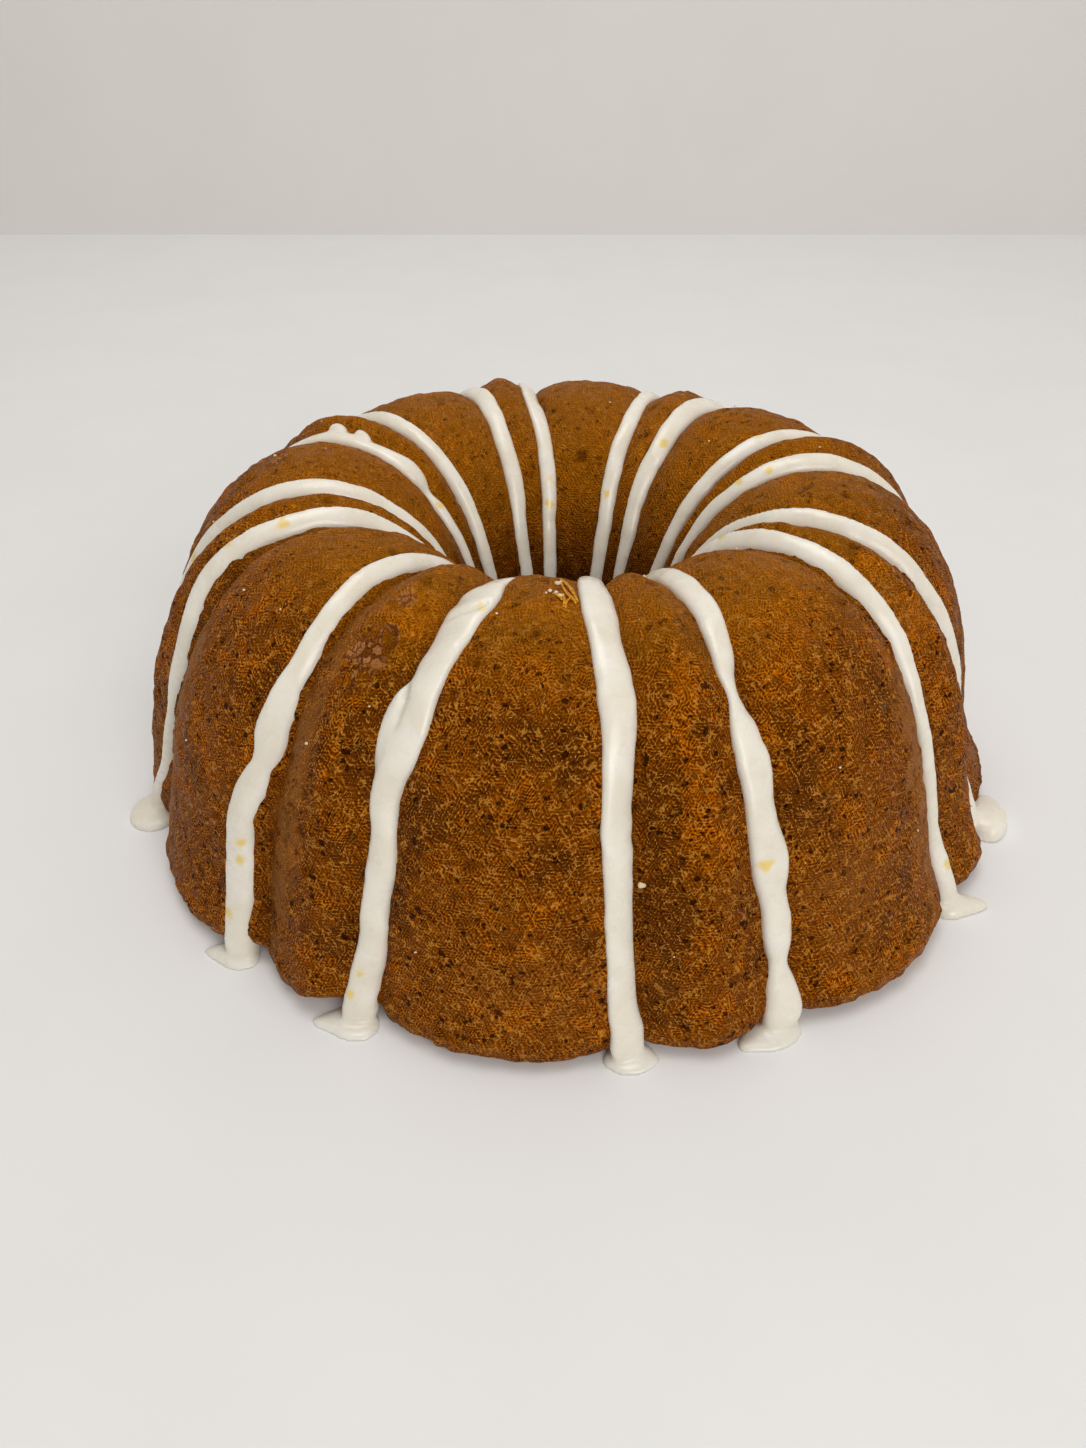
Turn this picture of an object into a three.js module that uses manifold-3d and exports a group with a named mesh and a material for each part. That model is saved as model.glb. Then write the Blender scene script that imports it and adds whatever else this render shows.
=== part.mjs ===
// A bundt cake: a fluted ring cake, turned out of its pan and stood on its flat underside,
// with sixteen thick drips of white glaze that run down its grooves.
// Millimetres, +Z up. The origin is on the ring's axis, at the height of the underside.
// The ring is one skin: a smooth arch that runs from the outer foot over the crest and down
// into the hole, pushed outwards by eight wide and eight narrow lobes. The glaze is fused to it.
import * as THREE from "three";
import { mergeVertices } from "three/addons/utils/BufferGeometryUtils.js";
import Module from "manifold-3d";

// ---- The arch that the grooves follow ----
const CREST_HEIGHT = 79.4;
const CREST_RADIUS = 65.9;
const OUTER_FOOT_RADIUS = 115.6;
const HOLE_FOOT_RADIUS = 23.2;
// Each side leans in as it rises, and rounds over to the crest by a power of the height.
const OUTER_SIDE = { footRadius: OUTER_FOOT_RADIUS, lean: 0.3, power: 4 };
const HOLE_SIDE = { footRadius: HOLE_FOOT_RADIUS, lean: 0.1, power: 3 };

// ---- The lobes: eight pairs, one narrow and one wide ----
const PAIRS = 8;
const LOBES = 2 * PAIRS;
const PAIR_ANGLE = 360 / PAIRS;
const FIRST_NARROW_AZIMUTH = -74.9;
const NARROW_HALF_ANGLE = 8.5;
const WIDE_HALF_ANGLE = PAIR_ANGLE / 2 - NARROW_HALF_ANGLE;
// How far a lobe stands out of the groove: on the outer wall, in the hole, and the fade between
// them along the arch. The flare is what its foot spreads by.
const NARROW_LOBE = { depth: 5.9, holeDepth: 1.6, fadeFrom: 0.42, fadeTo: 0.88, flare: 0.6 };
const WIDE_LOBE = { depth: 5.4, holeDepth: 2.2, fadeFrom: 0.48, fadeTo: 0.9, flare: 1.1 };
const FLARE_REACH = 0.08;
// Wide lobes are round in section. Narrow ones have a ridge like a roof, with a rounded top.
// The powers say how full each section is between its ridge and the grooves beside it.
const WIDE_SECTION = { side: 2.2, fullness: 0.62 };
const NARROW_SECTION = { rounding: 0.14, fullness: 0.85 };

// ---- How unevenly the cake rose: one value for each lobe, narrow and wide by turns
// round the ring, and the fraction of the arch where it is strongest and how far it spreads.
const GROWTHS = [
  { at: 0.45, reach: 0.2, values: [0, 0, 0.5, 1.5, 3.5, 1.8, 0.8, 1, 2.2, 1.7, 3, 3, 2.2, 0.5, 0, 0] },
  { at: 0.15, reach: 0.13, values: [0, 0, -1, -3.5, -2.5, 0, 0.5, 0, -0.5, 0, 0.5, 0, 0, 0, 0, 0] },
  { at: 0, reach: 0.06, values: [0, 3, 2.5, 2.5, 1, 0.5, 0, 0.8, 0, 0, -0.5, 0.5, -0.5, 1.5, 0, 0] },
  { at: 0, reach: 0.11, values: [2.6, 2, 0.8, 0, 0, 0, 0, 0, 0, 0, 0, 0, 0, 0.3, 1.9, 2.6] },
  { at: 0.62, reach: 0.12, values: [1.9, 1.4, 1.2, 0.6, 0, 0, 0, 0, 0, 0, 0, 0, 0, 1, 1.4, 1.3] },
];
// Stretches of the outer foot that curl up off the plate.
const FOOT_LIFTS = [
  { azimuth: -131, height: 3, spread: 4.5 },
  { azimuth: -116, height: 4, spread: 4.5 },
  { azimuth: -84, height: 1, spread: 4 },
  { azimuth: -66, height: 1.5, spread: 5 },
  { azimuth: 30, height: 2, spread: 7 },
  { azimuth: 118, height: 2.5, spread: 6 },
];
const LIFT_REACH = 12;

// ---- The rounded edges of the underside ----
const FOOT_EDGE = 4.5;
const HOLE_EDGE = 3;
const UNDERSIDE_INSET = 20;

// ---- The glaze: one drip down each groove ----
// Sway is how far the drip strays from its groove, and width is how wide it is, at every
// DRIP_STEP of the arch's length from the outer foot. It starts at "from" and ends at "to".
// A swell [place, extra width, reach] thickens or pinches it, and a bend [place, shift, reach]
// moves it to the side.
const DRIP_STEP = 25;
const DRIPS = [
  {
    from: 0,
    to: 176,
    sway: [-1.5, -3.2, -3.3, -1.8, -2.2, -0.6, -1],
    width: [7.2, 6, 6.4, 7, 6.6, 6.6, 5],
    swells: [[80, 1, 8], [98, 0.8, 8], [0, 1.2, 5]],
  },
  {
    from: 0,
    to: 170,
    sway: [-1.2, -1, -2.6, -3.2, 0, 1.5, 1],
    width: [7.5, 6.6, 7.6, 6.4, 6.2, 5, 4.5],
    swells: [[64, 1.4, 7], [77, -3.4, 4.5], [42, 1.4, 6], [16, -2.4, 4], [2, 1.6, 6]],
  },
  {
    from: 0,
    to: 174,
    sway: [2.5, 1.3, 0.7, 3, 3.8, 4.5, 2],
    width: [5.5, 4.4, 4.4, 4.4, 4.4, 4.4, 4.2],
    swells: [[12, 0.8, 6]],
  },
  {
    from: 0,
    to: 168,
    sway: [0, 1, 3, 2.5, 2, 2.5, 1],
    width: [6, 4.5, 4.3, 3.9, 4, 4.2, 4],
    swells: [],
  },
  {
    from: 9,
    to: 178,
    sway: [0, 1, 1, 1.6, 2, 1.8, 0.5],
    width: [4.5, 4.5, 4.5, 4.4, 4.7, 4.3, 3.5],
    swells: [],
  },
  {
    from: 26,
    to: 172,
    sway: [-1, 0, 1, 1, 1.5, 1.1, 0],
    width: [5, 5, 4.5, 4.5, 4.5, 4.5, 4],
    swells: [[31, 1.2, 6]],
  },
  {
    from: 0,
    to: 180,
    sway: [1, 1.5, 2, 2.5, 3, 2, 0.7],
    width: [5, 5, 5, 5.5, 6, 5.2, 4],
    swells: [],
  },
  {
    from: 14,
    to: 176,
    sway: [-1, 0, 1, 0.5, 0.3, 0.3, -0.1],
    width: [5, 5, 5, 4.5, 4.5, 5, 4],
    swells: [[19, 1.4, 6]],
  },
  {
    from: 0,
    to: 182,
    sway: [0, 1, 1.5, 2.5, 3, 0.6, 1.2],
    width: [5, 5, 4.5, 4.5, 5.2, 5, 4],
    swells: [],
  },
  {
    from: 34,
    to: 178,
    sway: [-1, -1, -1.5, -1.5, -1.5, -0.7, 1],
    width: [5, 5, 4.5, 4.5, 5.4, 5.6, 4.4],
    swells: [[39, 1.6, 7]],
  },
  {
    from: 0,
    to: 174,
    sway: [0, -1, -1, -1, -0.8, -0.6, 0.5],
    width: [5, 5, 4.5, 4.5, 4.2, 4.4, 4],
    swells: [],
  },
  {
    from: 18,
    to: 170,
    sway: [0, -0.5, -1, -1, -0.8, -0.7, -0.2],
    width: [4.5, 4.5, 4.5, 4.5, 4.5, 4, 4],
    swells: [[98, 1.5, 5], [118, 2.6, 6], [126, -1.8, 3]],
  },
  {
    from: 0,
    to: 172,
    sway: [-2, -3, -4, -3, -1.5, -1, 0],
    width: [4.5, 4.5, 4.5, 4.5, 4.6, 4, 4],
    swells: [],
  },
  {
    from: 0,
    to: 172,
    sway: [-13, -5.2, -3.8, -6.2, -3.6, -1.5, -1],
    width: [3.2, 3.2, 4.5, 4.3, 4.3, 4, 4],
    swells: [[38, -1.2, 6]],
  },
  {
    from: 0,
    to: 170,
    sway: [-6, -6.8, -5.4, -3, -3.7, -2, -1],
    width: [6.2, 7, 6.6, 4.8, 4.4, 4.2, 4.2],
    swells: [[62, 0.8, 6], [52, -1.2, 4], [45, 0.8, 4]],
    bends: [[37, -1.6, 7], [54, 1.4, 5]],
  },
  {
    from: 0,
    to: 168,
    sway: [-5, -2.2, -0.8, 1.2, 4, 3.8, 1],
    width: [6.8, 6, 5.8, 7.4, 9.6, 8, 4.4],
    swells: [[66, 1.2, 8], [107, -1.4, 3]],
    bends: [[56, -1.7, 7]],
  },
];
// Blobs beside a drip: where along the arch, how far to the side, and their half sizes.
const BLOBS = [
  { drip: 15, at: 70, side: -3.2, halfWidth: 4.7, halfLength: 10.5, height: 2.6 },
  { drip: 11, at: 97, side: -3.5, halfWidth: 2.6, halfLength: 4.5, height: 2.4 },
];
// Puddles at the drips' feet: half sizes along and across the edge of the cake.
const PUDDLES = [
  { azimuth: -84.2, radius: 121, along: 6, across: 5, height: 1.8 },
  { azimuth: -68.5, radius: 121.8, along: 7.6, across: 5.2, height: 1.8 },
  { azimuth: -37, radius: 121.2, along: 6, across: 5.4, height: 2.6 },
  { azimuth: -19.5, radius: 123, along: 9, across: 6, height: 5.5 },
  { azimuth: 52, radius: 119.5, along: 7, across: 5, height: 2.2 },
  { azimuth: 97, radius: 119, along: 5.5, across: 5, height: 2 },
  { azimuth: 141.5, radius: 119.5, along: 6.5, across: 5.5, height: 2.2 },
  { azimuth: 179.5, radius: 119, along: 3.6, across: 5.5, height: 1.8 },
  { azimuth: -162, radius: 121.5, along: 7.6, across: 6.5, height: 2.4 },
  { azimuth: -131, radius: 120.4, along: 5.6, across: 5.2, height: 1.8 },
  { azimuth: -113.7, radius: 121.2, along: 6.4, across: 5.2, height: 1.8 },
];
// How deep a drip's edges and its root are sunk in the cake, and how far its foot is drawn
// down before the plate cuts it level.
const DRIP_EDGE_DEPTH = 0.5;
const DRIP_ROOT_DEPTH = 1.5;
const PLATE_OVERRUN = 3;
const PUDDLE_DEPTH = 1;
// A drip's crown stands higher the wider it is. Its shoulders and its root are given as
// fractions of its width.
const CROWN = { least: 0.6, perWidth: 0.25, most: 2.6 };
const SHOULDER_PLACE = 0.27;
const ROOT_WIDTH = 0.6;
const DOME_SHOULDER_HEIGHT = 0.8;

// ---- How finely the surfaces are divided ----
const SKIN_ROWS = 18;
const NARROW_COLUMNS = [-1, -0.62, -0.2, 0.2, 0.62];
const WIDE_COLUMNS = [-1, -0.88, -0.5, 0, 0.5, 0.88];
const DRIP_SPACING = 14;
const DOME_SIDES = 10;
const ARCH_SAMPLES = 200;
const NORMAL_SPAN = 6;
// Where a rounded end of a drip is divided, in steps from its tip.
const END_STATIONS = [0.04, 0.4];
const MERGE_DISTANCE = 1e-4;

const radians = THREE.MathUtils.degToRad;
const lerp = THREE.MathUtils.lerp;
const bell = (x, reach) => Math.exp(-((x / reach) ** 2));

// One side of the arch, from its foot (t = 0) to the crest (t = 1).
function archSide({ footRadius, lean, power }, t) {
  const angle = (t * Math.PI) / 2;
  const rise = Math.sin(angle) ** (2 / power);
  const spread = (1 - lean * rise) * Math.cos(angle);
  return new THREE.Vector2(lerp(CREST_RADIUS, footRadius, spread), CREST_HEIGHT * rise);
}

// The whole arch as points, outer foot first, with the length run at each.
function measureArch() {
  const points = [];
  for (let i = 0; i <= ARCH_SAMPLES; i++) points.push(archSide(OUTER_SIDE, i / ARCH_SAMPLES));
  for (let i = ARCH_SAMPLES - 1; i >= 0; i--) points.push(archSide(HOLE_SIDE, i / ARCH_SAMPLES));
  const lengths = [0];
  for (let i = 1; i < points.length; i++) {
    lengths.push(lengths[i - 1] + points[i].distanceTo(points[i - 1]));
  }
  return { points, lengths };
}

const ARCH = measureArch();
const ARCH_LENGTH = ARCH.lengths[ARCH.lengths.length - 1];

// The arch's point at a length from the outer foot; past either end it runs straight on.
function archPoint(length) {
  const { points, lengths } = ARCH;
  let i = 1;
  while (i < points.length - 1 && lengths[i] < length) i++;
  const t = (length - lengths[i - 1]) / (lengths[i] - lengths[i - 1]);
  return points[i - 1].clone().lerp(points[i], t);
}

// The direction straight out of the arch there.
function archNormal(length) {
  const from = archPoint(Math.max(length - NORMAL_SPAN, 0));
  const along = archPoint(Math.min(length + NORMAL_SPAN, ARCH_LENGTH)).sub(from);
  return new THREE.Vector2(along.y, -along.x).normalize();
}

// A value given for each of the sixteen lobes, blended round the ring.
function roundTheRing(values, azimuth) {
  const turn = THREE.MathUtils.euclideanModulo(azimuth - FIRST_NARROW_AZIMUTH, 360);
  const place = turn / (PAIR_ANGLE / 2);
  const lobe = Math.floor(place);
  const blend = THREE.MathUtils.smoothstep(place - lobe, 0, 1);
  return lerp(values[lobe % LOBES], values[(lobe + 1) % LOBES], blend);
}

// How far the uneven rise moves lobes and grooves alike out of the arch.
function growth(length, azimuth) {
  const fraction = length / ARCH_LENGTH;
  let out = 0;
  for (const { values, at, reach } of GROWTHS) {
    out += roundTheRing(values, azimuth) * bell(fraction - at, reach);
  }
  return out;
}

// How far a lobe stands out of the groove at a fraction of the arch.
function lobeDepth({ depth, holeDepth, fadeFrom, fadeTo, flare }, fraction) {
  const inward = THREE.MathUtils.smoothstep(fraction, fadeFrom, fadeTo);
  return lerp(depth, holeDepth, inward) + flare * Math.exp(-fraction / FLARE_REACH);
}

// How much of its depth a lobe has at u, which runs from -1 to 1 across it.
function wideSection(u) {
  return Math.max(1 - Math.abs(u) ** WIDE_SECTION.side, 0) ** WIDE_SECTION.fullness;
}

function narrowSection(u) {
  const { rounding, fullness } = NARROW_SECTION;
  const edge = Math.hypot(1, rounding);
  return Math.max((edge - Math.hypot(u, rounding)) / (edge - rounding), 0) ** fullness;
}

// How far the lobes stand out of the grooves at a length along the arch and an azimuth.
function lobeRelief(length, azimuth) {
  const fraction = length / ARCH_LENGTH;
  const firstGroove = FIRST_NARROW_AZIMUTH - NARROW_HALF_ANGLE;
  const turn = THREE.MathUtils.euclideanModulo(azimuth - firstGroove, PAIR_ANGLE);
  const pastNarrow = turn - 2 * NARROW_HALF_ANGLE;
  if (pastNarrow < 0) {
    return narrowSection(turn / NARROW_HALF_ANGLE - 1) * lobeDepth(NARROW_LOBE, fraction);
  }
  return wideSection(pastNarrow / WIDE_HALF_ANGLE - 1) * lobeDepth(WIDE_LOBE, fraction);
}

function footLift(azimuth) {
  let lift = 0;
  for (const { azimuth: middle, height, spread } of FOOT_LIFTS) {
    const away = THREE.MathUtils.euclideanModulo(azimuth - middle + 180, 360) - 180;
    lift += height * bell(away, spread);
  }
  return lift;
}

const onRing = (radius, azimuth, z) =>
  new THREE.Vector3(radius * Math.cos(radians(azimuth)), radius * Math.sin(radians(azimuth)), z);

// A point some millimetres out of the arch.
function outOfArch(length, azimuth, out) {
  const { x, y } = archPoint(length).addScaledVector(archNormal(length), out);
  return onRing(x, azimuth, y);
}

// The floor of the groove that would be there, and the skin over it, lobes and all.
const groovePoint = (length, azimuth, raised) =>
  outOfArch(length, azimuth, growth(length, azimuth) + raised);
const skinPoint = (length, azimuth, raised = 0) =>
  groovePoint(length, azimuth, lobeRelief(length, azimuth) + raised);

// A closed body from rings of points, each ring joined to the next one. Unless it is looped,
// the first and last rings are capped.
function bodyFromRings(rings, looped) {
  const count = rings[0].length;
  const positions = rings.flat().flatMap((p) => [p.x, p.y, p.z]);
  const index = [];
  const steps = looped ? rings.length : rings.length - 1;
  for (let i = 0; i < steps; i++) {
    const here = i * count;
    const next = ((i + 1) % rings.length) * count;
    for (let j = 0; j < count; j++) {
      const k = (j + 1) % count;
      index.push(here + j, here + k, next + k, here + j, next + k, next + j);
    }
  }
  if (!looped) {
    const last = (rings.length - 1) * count;
    for (let j = 1; j < count - 1; j++) {
      index.push(0, j + 1, j);
      index.push(last, last + j, last + j + 1);
    }
  }
  const geometry = new THREE.BufferGeometry();
  geometry.setAttribute("position", new THREE.Float32BufferAttribute(positions, 3));
  geometry.setIndex(index);
  return geometry;
}

// The azimuths of the skin's columns: closer together beside the grooves.
function skinColumns() {
  const columns = [];
  for (let pair = 0; pair < PAIRS; pair++) {
    const narrow = FIRST_NARROW_AZIMUTH + pair * PAIR_ANGLE;
    const wide = narrow + PAIR_ANGLE / 2;
    for (const u of NARROW_COLUMNS) columns.push(narrow + u * NARROW_HALF_ANGLE);
    for (const u of WIDE_COLUMNS) columns.push(wide + u * WIDE_HALF_ANGLE);
  }
  return columns;
}

// The ring of cake: the skin, the rounded edges and the flat underside, as one loop of rows.
function cakeGeometry() {
  const columns = skinColumns();
  const row = (place) => columns.map(place);
  const rows = [];
  const lastLength = ARCH_LENGTH - HOLE_EDGE;
  for (let i = 0; i < SKIN_ROWS; i++) {
    const length = lerp(FOOT_EDGE, lastLength, i / (SKIN_ROWS - 1));
    rows.push(row((azimuth) => {
      const point = skinPoint(length, azimuth);
      point.z += footLift(azimuth) * bell(length, LIFT_REACH);
      return point;
    }));
  }
  const underside = (length, inset, height, lifted) => (azimuth) => {
    const skin = skinPoint(length, azimuth);
    return onRing(Math.hypot(skin.x, skin.y) + inset, azimuth, height + lifted * footLift(azimuth));
  };
  const halfway = 1 - Math.SQRT1_2;
  rows.push(row(underside(lastLength, HOLE_EDGE * halfway, HOLE_EDGE * halfway, 0)));
  rows.push(row(underside(lastLength, HOLE_EDGE, 0, 0)));
  rows.push(row(underside(FOOT_EDGE, -UNDERSIDE_INSET, 0, 0)));
  rows.push(row(underside(FOOT_EDGE, -FOOT_EDGE, 0, 1)));
  rows.push(row(underside(FOOT_EDGE, -FOOT_EDGE * halfway, FOOT_EDGE * halfway, 1)));
  return bodyFromRings(rows, true);
}

// A drip's value at a length of the arch, blended between the steps that its list gives.
function dripValue(values, length) {
  const place = THREE.MathUtils.clamp(length / DRIP_STEP, 0, values.length - 1);
  const step = Math.min(Math.floor(place), values.length - 2);
  return lerp(values[step], values[step + 1], THREE.MathUtils.smoothstep(place - step, 0, 1));
}

function grooveAzimuth(index) {
  const side = index % 2 ? NARROW_HALF_ANGLE : -NARROW_HALF_ANGLE;
  return FIRST_NARROW_AZIMUTH + PAIR_ANGLE * Math.floor(index / 2) + side;
}

// The azimuth of a point that lies sideways of a groove by some millimetres.
function azimuthBeside(index, length, sideways) {
  return grooveAzimuth(index) + THREE.MathUtils.radToDeg(sideways / archPoint(length).x);
}

// The stations along a drip, in steps from its start. A drip that stands on the plate starts
// at its full width; any other end is rounded.
function dripStations({ from }, steps) {
  const [tip, shoulder] = END_STATIONS;
  const stations = from > 0 ? [tip, shoulder] : [0];
  for (let i = 1; i < steps; i++) stations.push(i);
  return [...stations, steps - shoulder, steps - tip];
}

// A drip as six-sided rings: a crowned top between its two edges, and a root that reaches
// under the floor of the groove.
function dripGeometry(drip, index) {
  const start = drip.from > 0 ? drip.from : -PLATE_OVERRUN;
  const steps = Math.round((drip.to - start) / DRIP_SPACING);
  const rings = dripStations(drip, steps).map((station) => {
    const length = lerp(start, drip.to, station / steps);
    const fromEnd = Math.min(drip.from > 0 ? station : 1, steps - station, 1);
    const taper = Math.sqrt(1 - (1 - fromEnd) ** 2);
    let width = dripValue(drip.width, length);
    for (const [at, extra, reach] of drip.swells) width += extra * bell(length - at, reach);
    const half = (width / 2) * taper;
    const height = Math.min(CROWN.least + CROWN.perWidth * width, CROWN.most) * taper;
    let middle = dripValue(drip.sway, length);
    for (const [at, shift, reach] of drip.bends ?? []) middle += shift * bell(length - at, reach);
    const beside = (sideways) => azimuthBeside(index, length, middle + sideways);
    const left = skinPoint(length, beside(-half), -DRIP_EDGE_DEPTH);
    const right = skinPoint(length, beside(half), -DRIP_EDGE_DEPTH);
    const up = skinPoint(length, beside(0), 1).sub(skinPoint(length, beside(0)));
    const onTop = (t) => left.clone().lerp(right, t).addScaledVector(up, height + DRIP_EDGE_DEPTH);
    const root = (sideways) => groovePoint(length, beside(sideways), -DRIP_ROOT_DEPTH);
    const top = [onTop(SHOULDER_PLACE), onTop(1 - SHOULDER_PLACE)];
    return [left, ...top, right, root(ROOT_WIDTH * half), root(-ROOT_WIDTH * half)];
  });
  return bodyFromRings(rings, false);
}

// A flat round dome: a lathe of a quarter ellipse, closed underneath.
function domeGeometry(height, depth) {
  const shoulder = new THREE.Vector2(Math.SQRT1_2, height * DOME_SHOULDER_HEIGHT);
  const foot = new THREE.Vector2(1, 0);
  const base = new THREE.Vector2(1, -depth);
  const profile = [new THREE.Vector2(0, -depth), base, foot, shoulder, new THREE.Vector2(0, height)];
  return new THREE.LatheGeometry(profile, DOME_SIDES);
}

// Places a dome with its axis along "up", its x half size along "along".
function placeDome(geometry, center, along, up, halfAlong, halfAcross) {
  const x = along.clone().setLength(halfAlong);
  const z = new THREE.Vector3().crossVectors(along, up).setLength(halfAcross);
  return geometry.applyMatrix4(new THREE.Matrix4().makeBasis(x, up, z).setPosition(center));
}

function blobGeometry({ drip, at, side, halfWidth, halfLength, height }) {
  const sideways = dripValue(DRIPS[drip].sway, at) + side;
  const azimuth = azimuthBeside(drip, at, sideways);
  const center = skinPoint(at, azimuth);
  const up = skinPoint(at, azimuth, 1).sub(center);
  const along = skinPoint(at + 1, azimuth).sub(center);
  return placeDome(domeGeometry(height, DRIP_ROOT_DEPTH), center, along, up, halfLength, halfWidth);
}

function puddleGeometry({ azimuth, radius, along, across, height }) {
  const tangent = onRing(1, azimuth + 90, 0);
  const up = new THREE.Vector3(0, 0, 1);
  const center = onRing(radius, azimuth, 0);
  return placeDome(domeGeometry(height, PUDDLE_DEPTH), center, tangent, up, along, across);
}

// ---- One solid ----
const wasm = await Module();
wasm.setup();

function solidFrom(geometry) {
  geometry.deleteAttribute("normal");
  geometry.deleteAttribute("uv");
  const merged = mergeVertices(geometry, MERGE_DISTANCE);
  return new wasm.Manifold(
    new wasm.Mesh({
      numProp: 3,
      vertProperties: new Float32Array(merged.attributes.position.array),
      triVerts: new Uint32Array(merged.index.array),
    }),
  );
}

function geometryFrom(solid) {
  const { vertProperties, triVerts } = solid.getMesh();
  const geometry = new THREE.BufferGeometry();
  geometry.setAttribute("position", new THREE.Float32BufferAttribute(vertProperties, 3));
  geometry.setIndex([...triVerts]);
  return geometry;
}

// Everything rests on one plane, so what the glaze has below it is cut away.
const CUTTER_SIZE = 400;
const CUTTER_DEPTH = 20;
function floorCutter() {
  const cutter = new THREE.BoxGeometry(CUTTER_SIZE, CUTTER_SIZE, CUTTER_DEPTH);
  return cutter.translate(0, 0, -CUTTER_DEPTH / 2);
}

function glazedCake() {
  let glaze = solidFrom(dripGeometry(DRIPS[0], 0));
  DRIPS.slice(1).forEach((drip, i) => {
    glaze = glaze.add(solidFrom(dripGeometry(drip, i + 1)));
  });
  for (const blob of BLOBS) glaze = glaze.add(solidFrom(blobGeometry(blob)));
  for (const puddle of PUDDLES) glaze = glaze.add(solidFrom(puddleGeometry(puddle)));
  return solidFrom(cakeGeometry()).add(glaze).subtract(solidFrom(floorCutter()));
}

const crust = new THREE.MeshStandardMaterial({ color: 0x8a4f1c, roughness: 0.8, metalness: 0 });
const cake = new THREE.Mesh(geometryFrom(glazedCake()), crust);
cake.name = "bundt_cake";

const part = new THREE.Group();
part.add(cake);
export default part;
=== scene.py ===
"""A glazed bundt cake: a fluted ring cake with a baked crust and white drips down its grooves.

A place on the cake is a length and an azimuth. The length runs in millimetres along the arch, from
the outer foot over the crest and down into the hole. The azimuth runs in degrees round the ring,
from 0 at the right, and is -90 at the front.
"""
import math

import bmesh
import bpy
import numpy as np
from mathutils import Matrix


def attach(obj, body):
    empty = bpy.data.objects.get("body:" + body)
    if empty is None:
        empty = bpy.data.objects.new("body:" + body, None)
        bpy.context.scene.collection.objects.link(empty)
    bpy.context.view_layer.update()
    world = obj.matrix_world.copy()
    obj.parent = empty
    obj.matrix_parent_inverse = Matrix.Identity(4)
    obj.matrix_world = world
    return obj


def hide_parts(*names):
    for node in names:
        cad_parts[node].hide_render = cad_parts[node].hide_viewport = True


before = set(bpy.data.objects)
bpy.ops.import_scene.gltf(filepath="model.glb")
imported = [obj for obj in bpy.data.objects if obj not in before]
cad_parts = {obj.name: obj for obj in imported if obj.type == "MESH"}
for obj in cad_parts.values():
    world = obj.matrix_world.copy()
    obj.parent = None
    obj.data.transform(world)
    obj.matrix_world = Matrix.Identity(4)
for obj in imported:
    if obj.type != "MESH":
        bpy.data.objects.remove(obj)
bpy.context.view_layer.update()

MM = 0.001  # sizes are in millimetres unless a comment says otherwise, and the scene is in metres

# ---- The arch that the grooves follow ----
CREST_HEIGHT = 79.4
CREST_RADIUS = 65.9
# Each side: the radius of its foot, how far it leans inwards, and how square its curve is.
OUTER_SIDE = dict(foot=115.6, lean=0.3, power=4)
HOLE_SIDE = dict(foot=23.2, lean=0.1, power=3)
ARCH_SAMPLES = 400
NORMAL_SPAN = 6  # the arch's direction is taken over this length before and after a point

# ---- The lobes: eight pairs, one narrow and one wide ----
PAIRS = 8
LOBES = 2 * PAIRS
PAIR_ANGLE = 360 / PAIRS
FIRST_NARROW = -74.9
NARROW_HALF = 8.5
WIDE_HALF = PAIR_ANGLE / 2 - NARROW_HALF
# Each kind: how far it stands out of the grooves outside and in the hole, the fractions of the arch
# between which the one passes into the other, and how far its foot flares.
NARROW_LOBE = dict(depth=5.9, hole_depth=1.6, fade=(0.42, 0.88), flare=0.6)
WIDE_LOBE = dict(depth=5.4, hole_depth=2.2, fade=(0.48, 0.9), flare=1.1)
FLARE_REACH = 0.08
WIDE_SECTION = dict(side=2.2, fullness=0.62)
NARROW_SECTION = dict(rounding=0.14, fullness=0.85)

# How unevenly it rose: at a fraction of the arch, with a reach, a value for each lobe.
GROWTHS = [
    (0.45, 0.2, [0, 0, 0.5, 1.5, 3.5, 1.8, 0.8, 1, 2.2, 1.7, 3, 3, 2.2, 0.5, 0, 0]),
    (0.15, 0.13, [0, 0, -1, -3.5, -2.5, 0, 0.5, 0, -0.5, 0, 0.5, 0, 0, 0, 0, 0]),
    (0, 0.06, [0, 3, 2.5, 2.5, 1, 0.5, 0, 0.8, 0, 0, -0.5, 0.5, -0.5, 1.5, 0, 0]),
    (0, 0.11, [2.6, 2, 0.8, 0, 0, 0, 0, 0, 0, 0, 0, 0, 0, 0.3, 1.9, 2.6]),
    (0.62, 0.12, [1.9, 1.4, 1.2, 0.6, 0, 0, 0, 0, 0, 0, 0, 0, 0, 1, 1.4, 1.3]),
]
# Stretches of the outer foot that curl up: azimuth, height, spread in degrees.
FOOT_LIFTS = [(-131, 3, 4.5), (-116, 4, 4.5), (-84, 1, 4), (-66, 1.5, 5), (30, 2, 7), (118, 2.5, 6)]
LIFT_REACH = 12
# Radii of the rounded edges between the skin and the underside.
FOOT_EDGE = 4.5
HOLE_EDGE = 3

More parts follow.
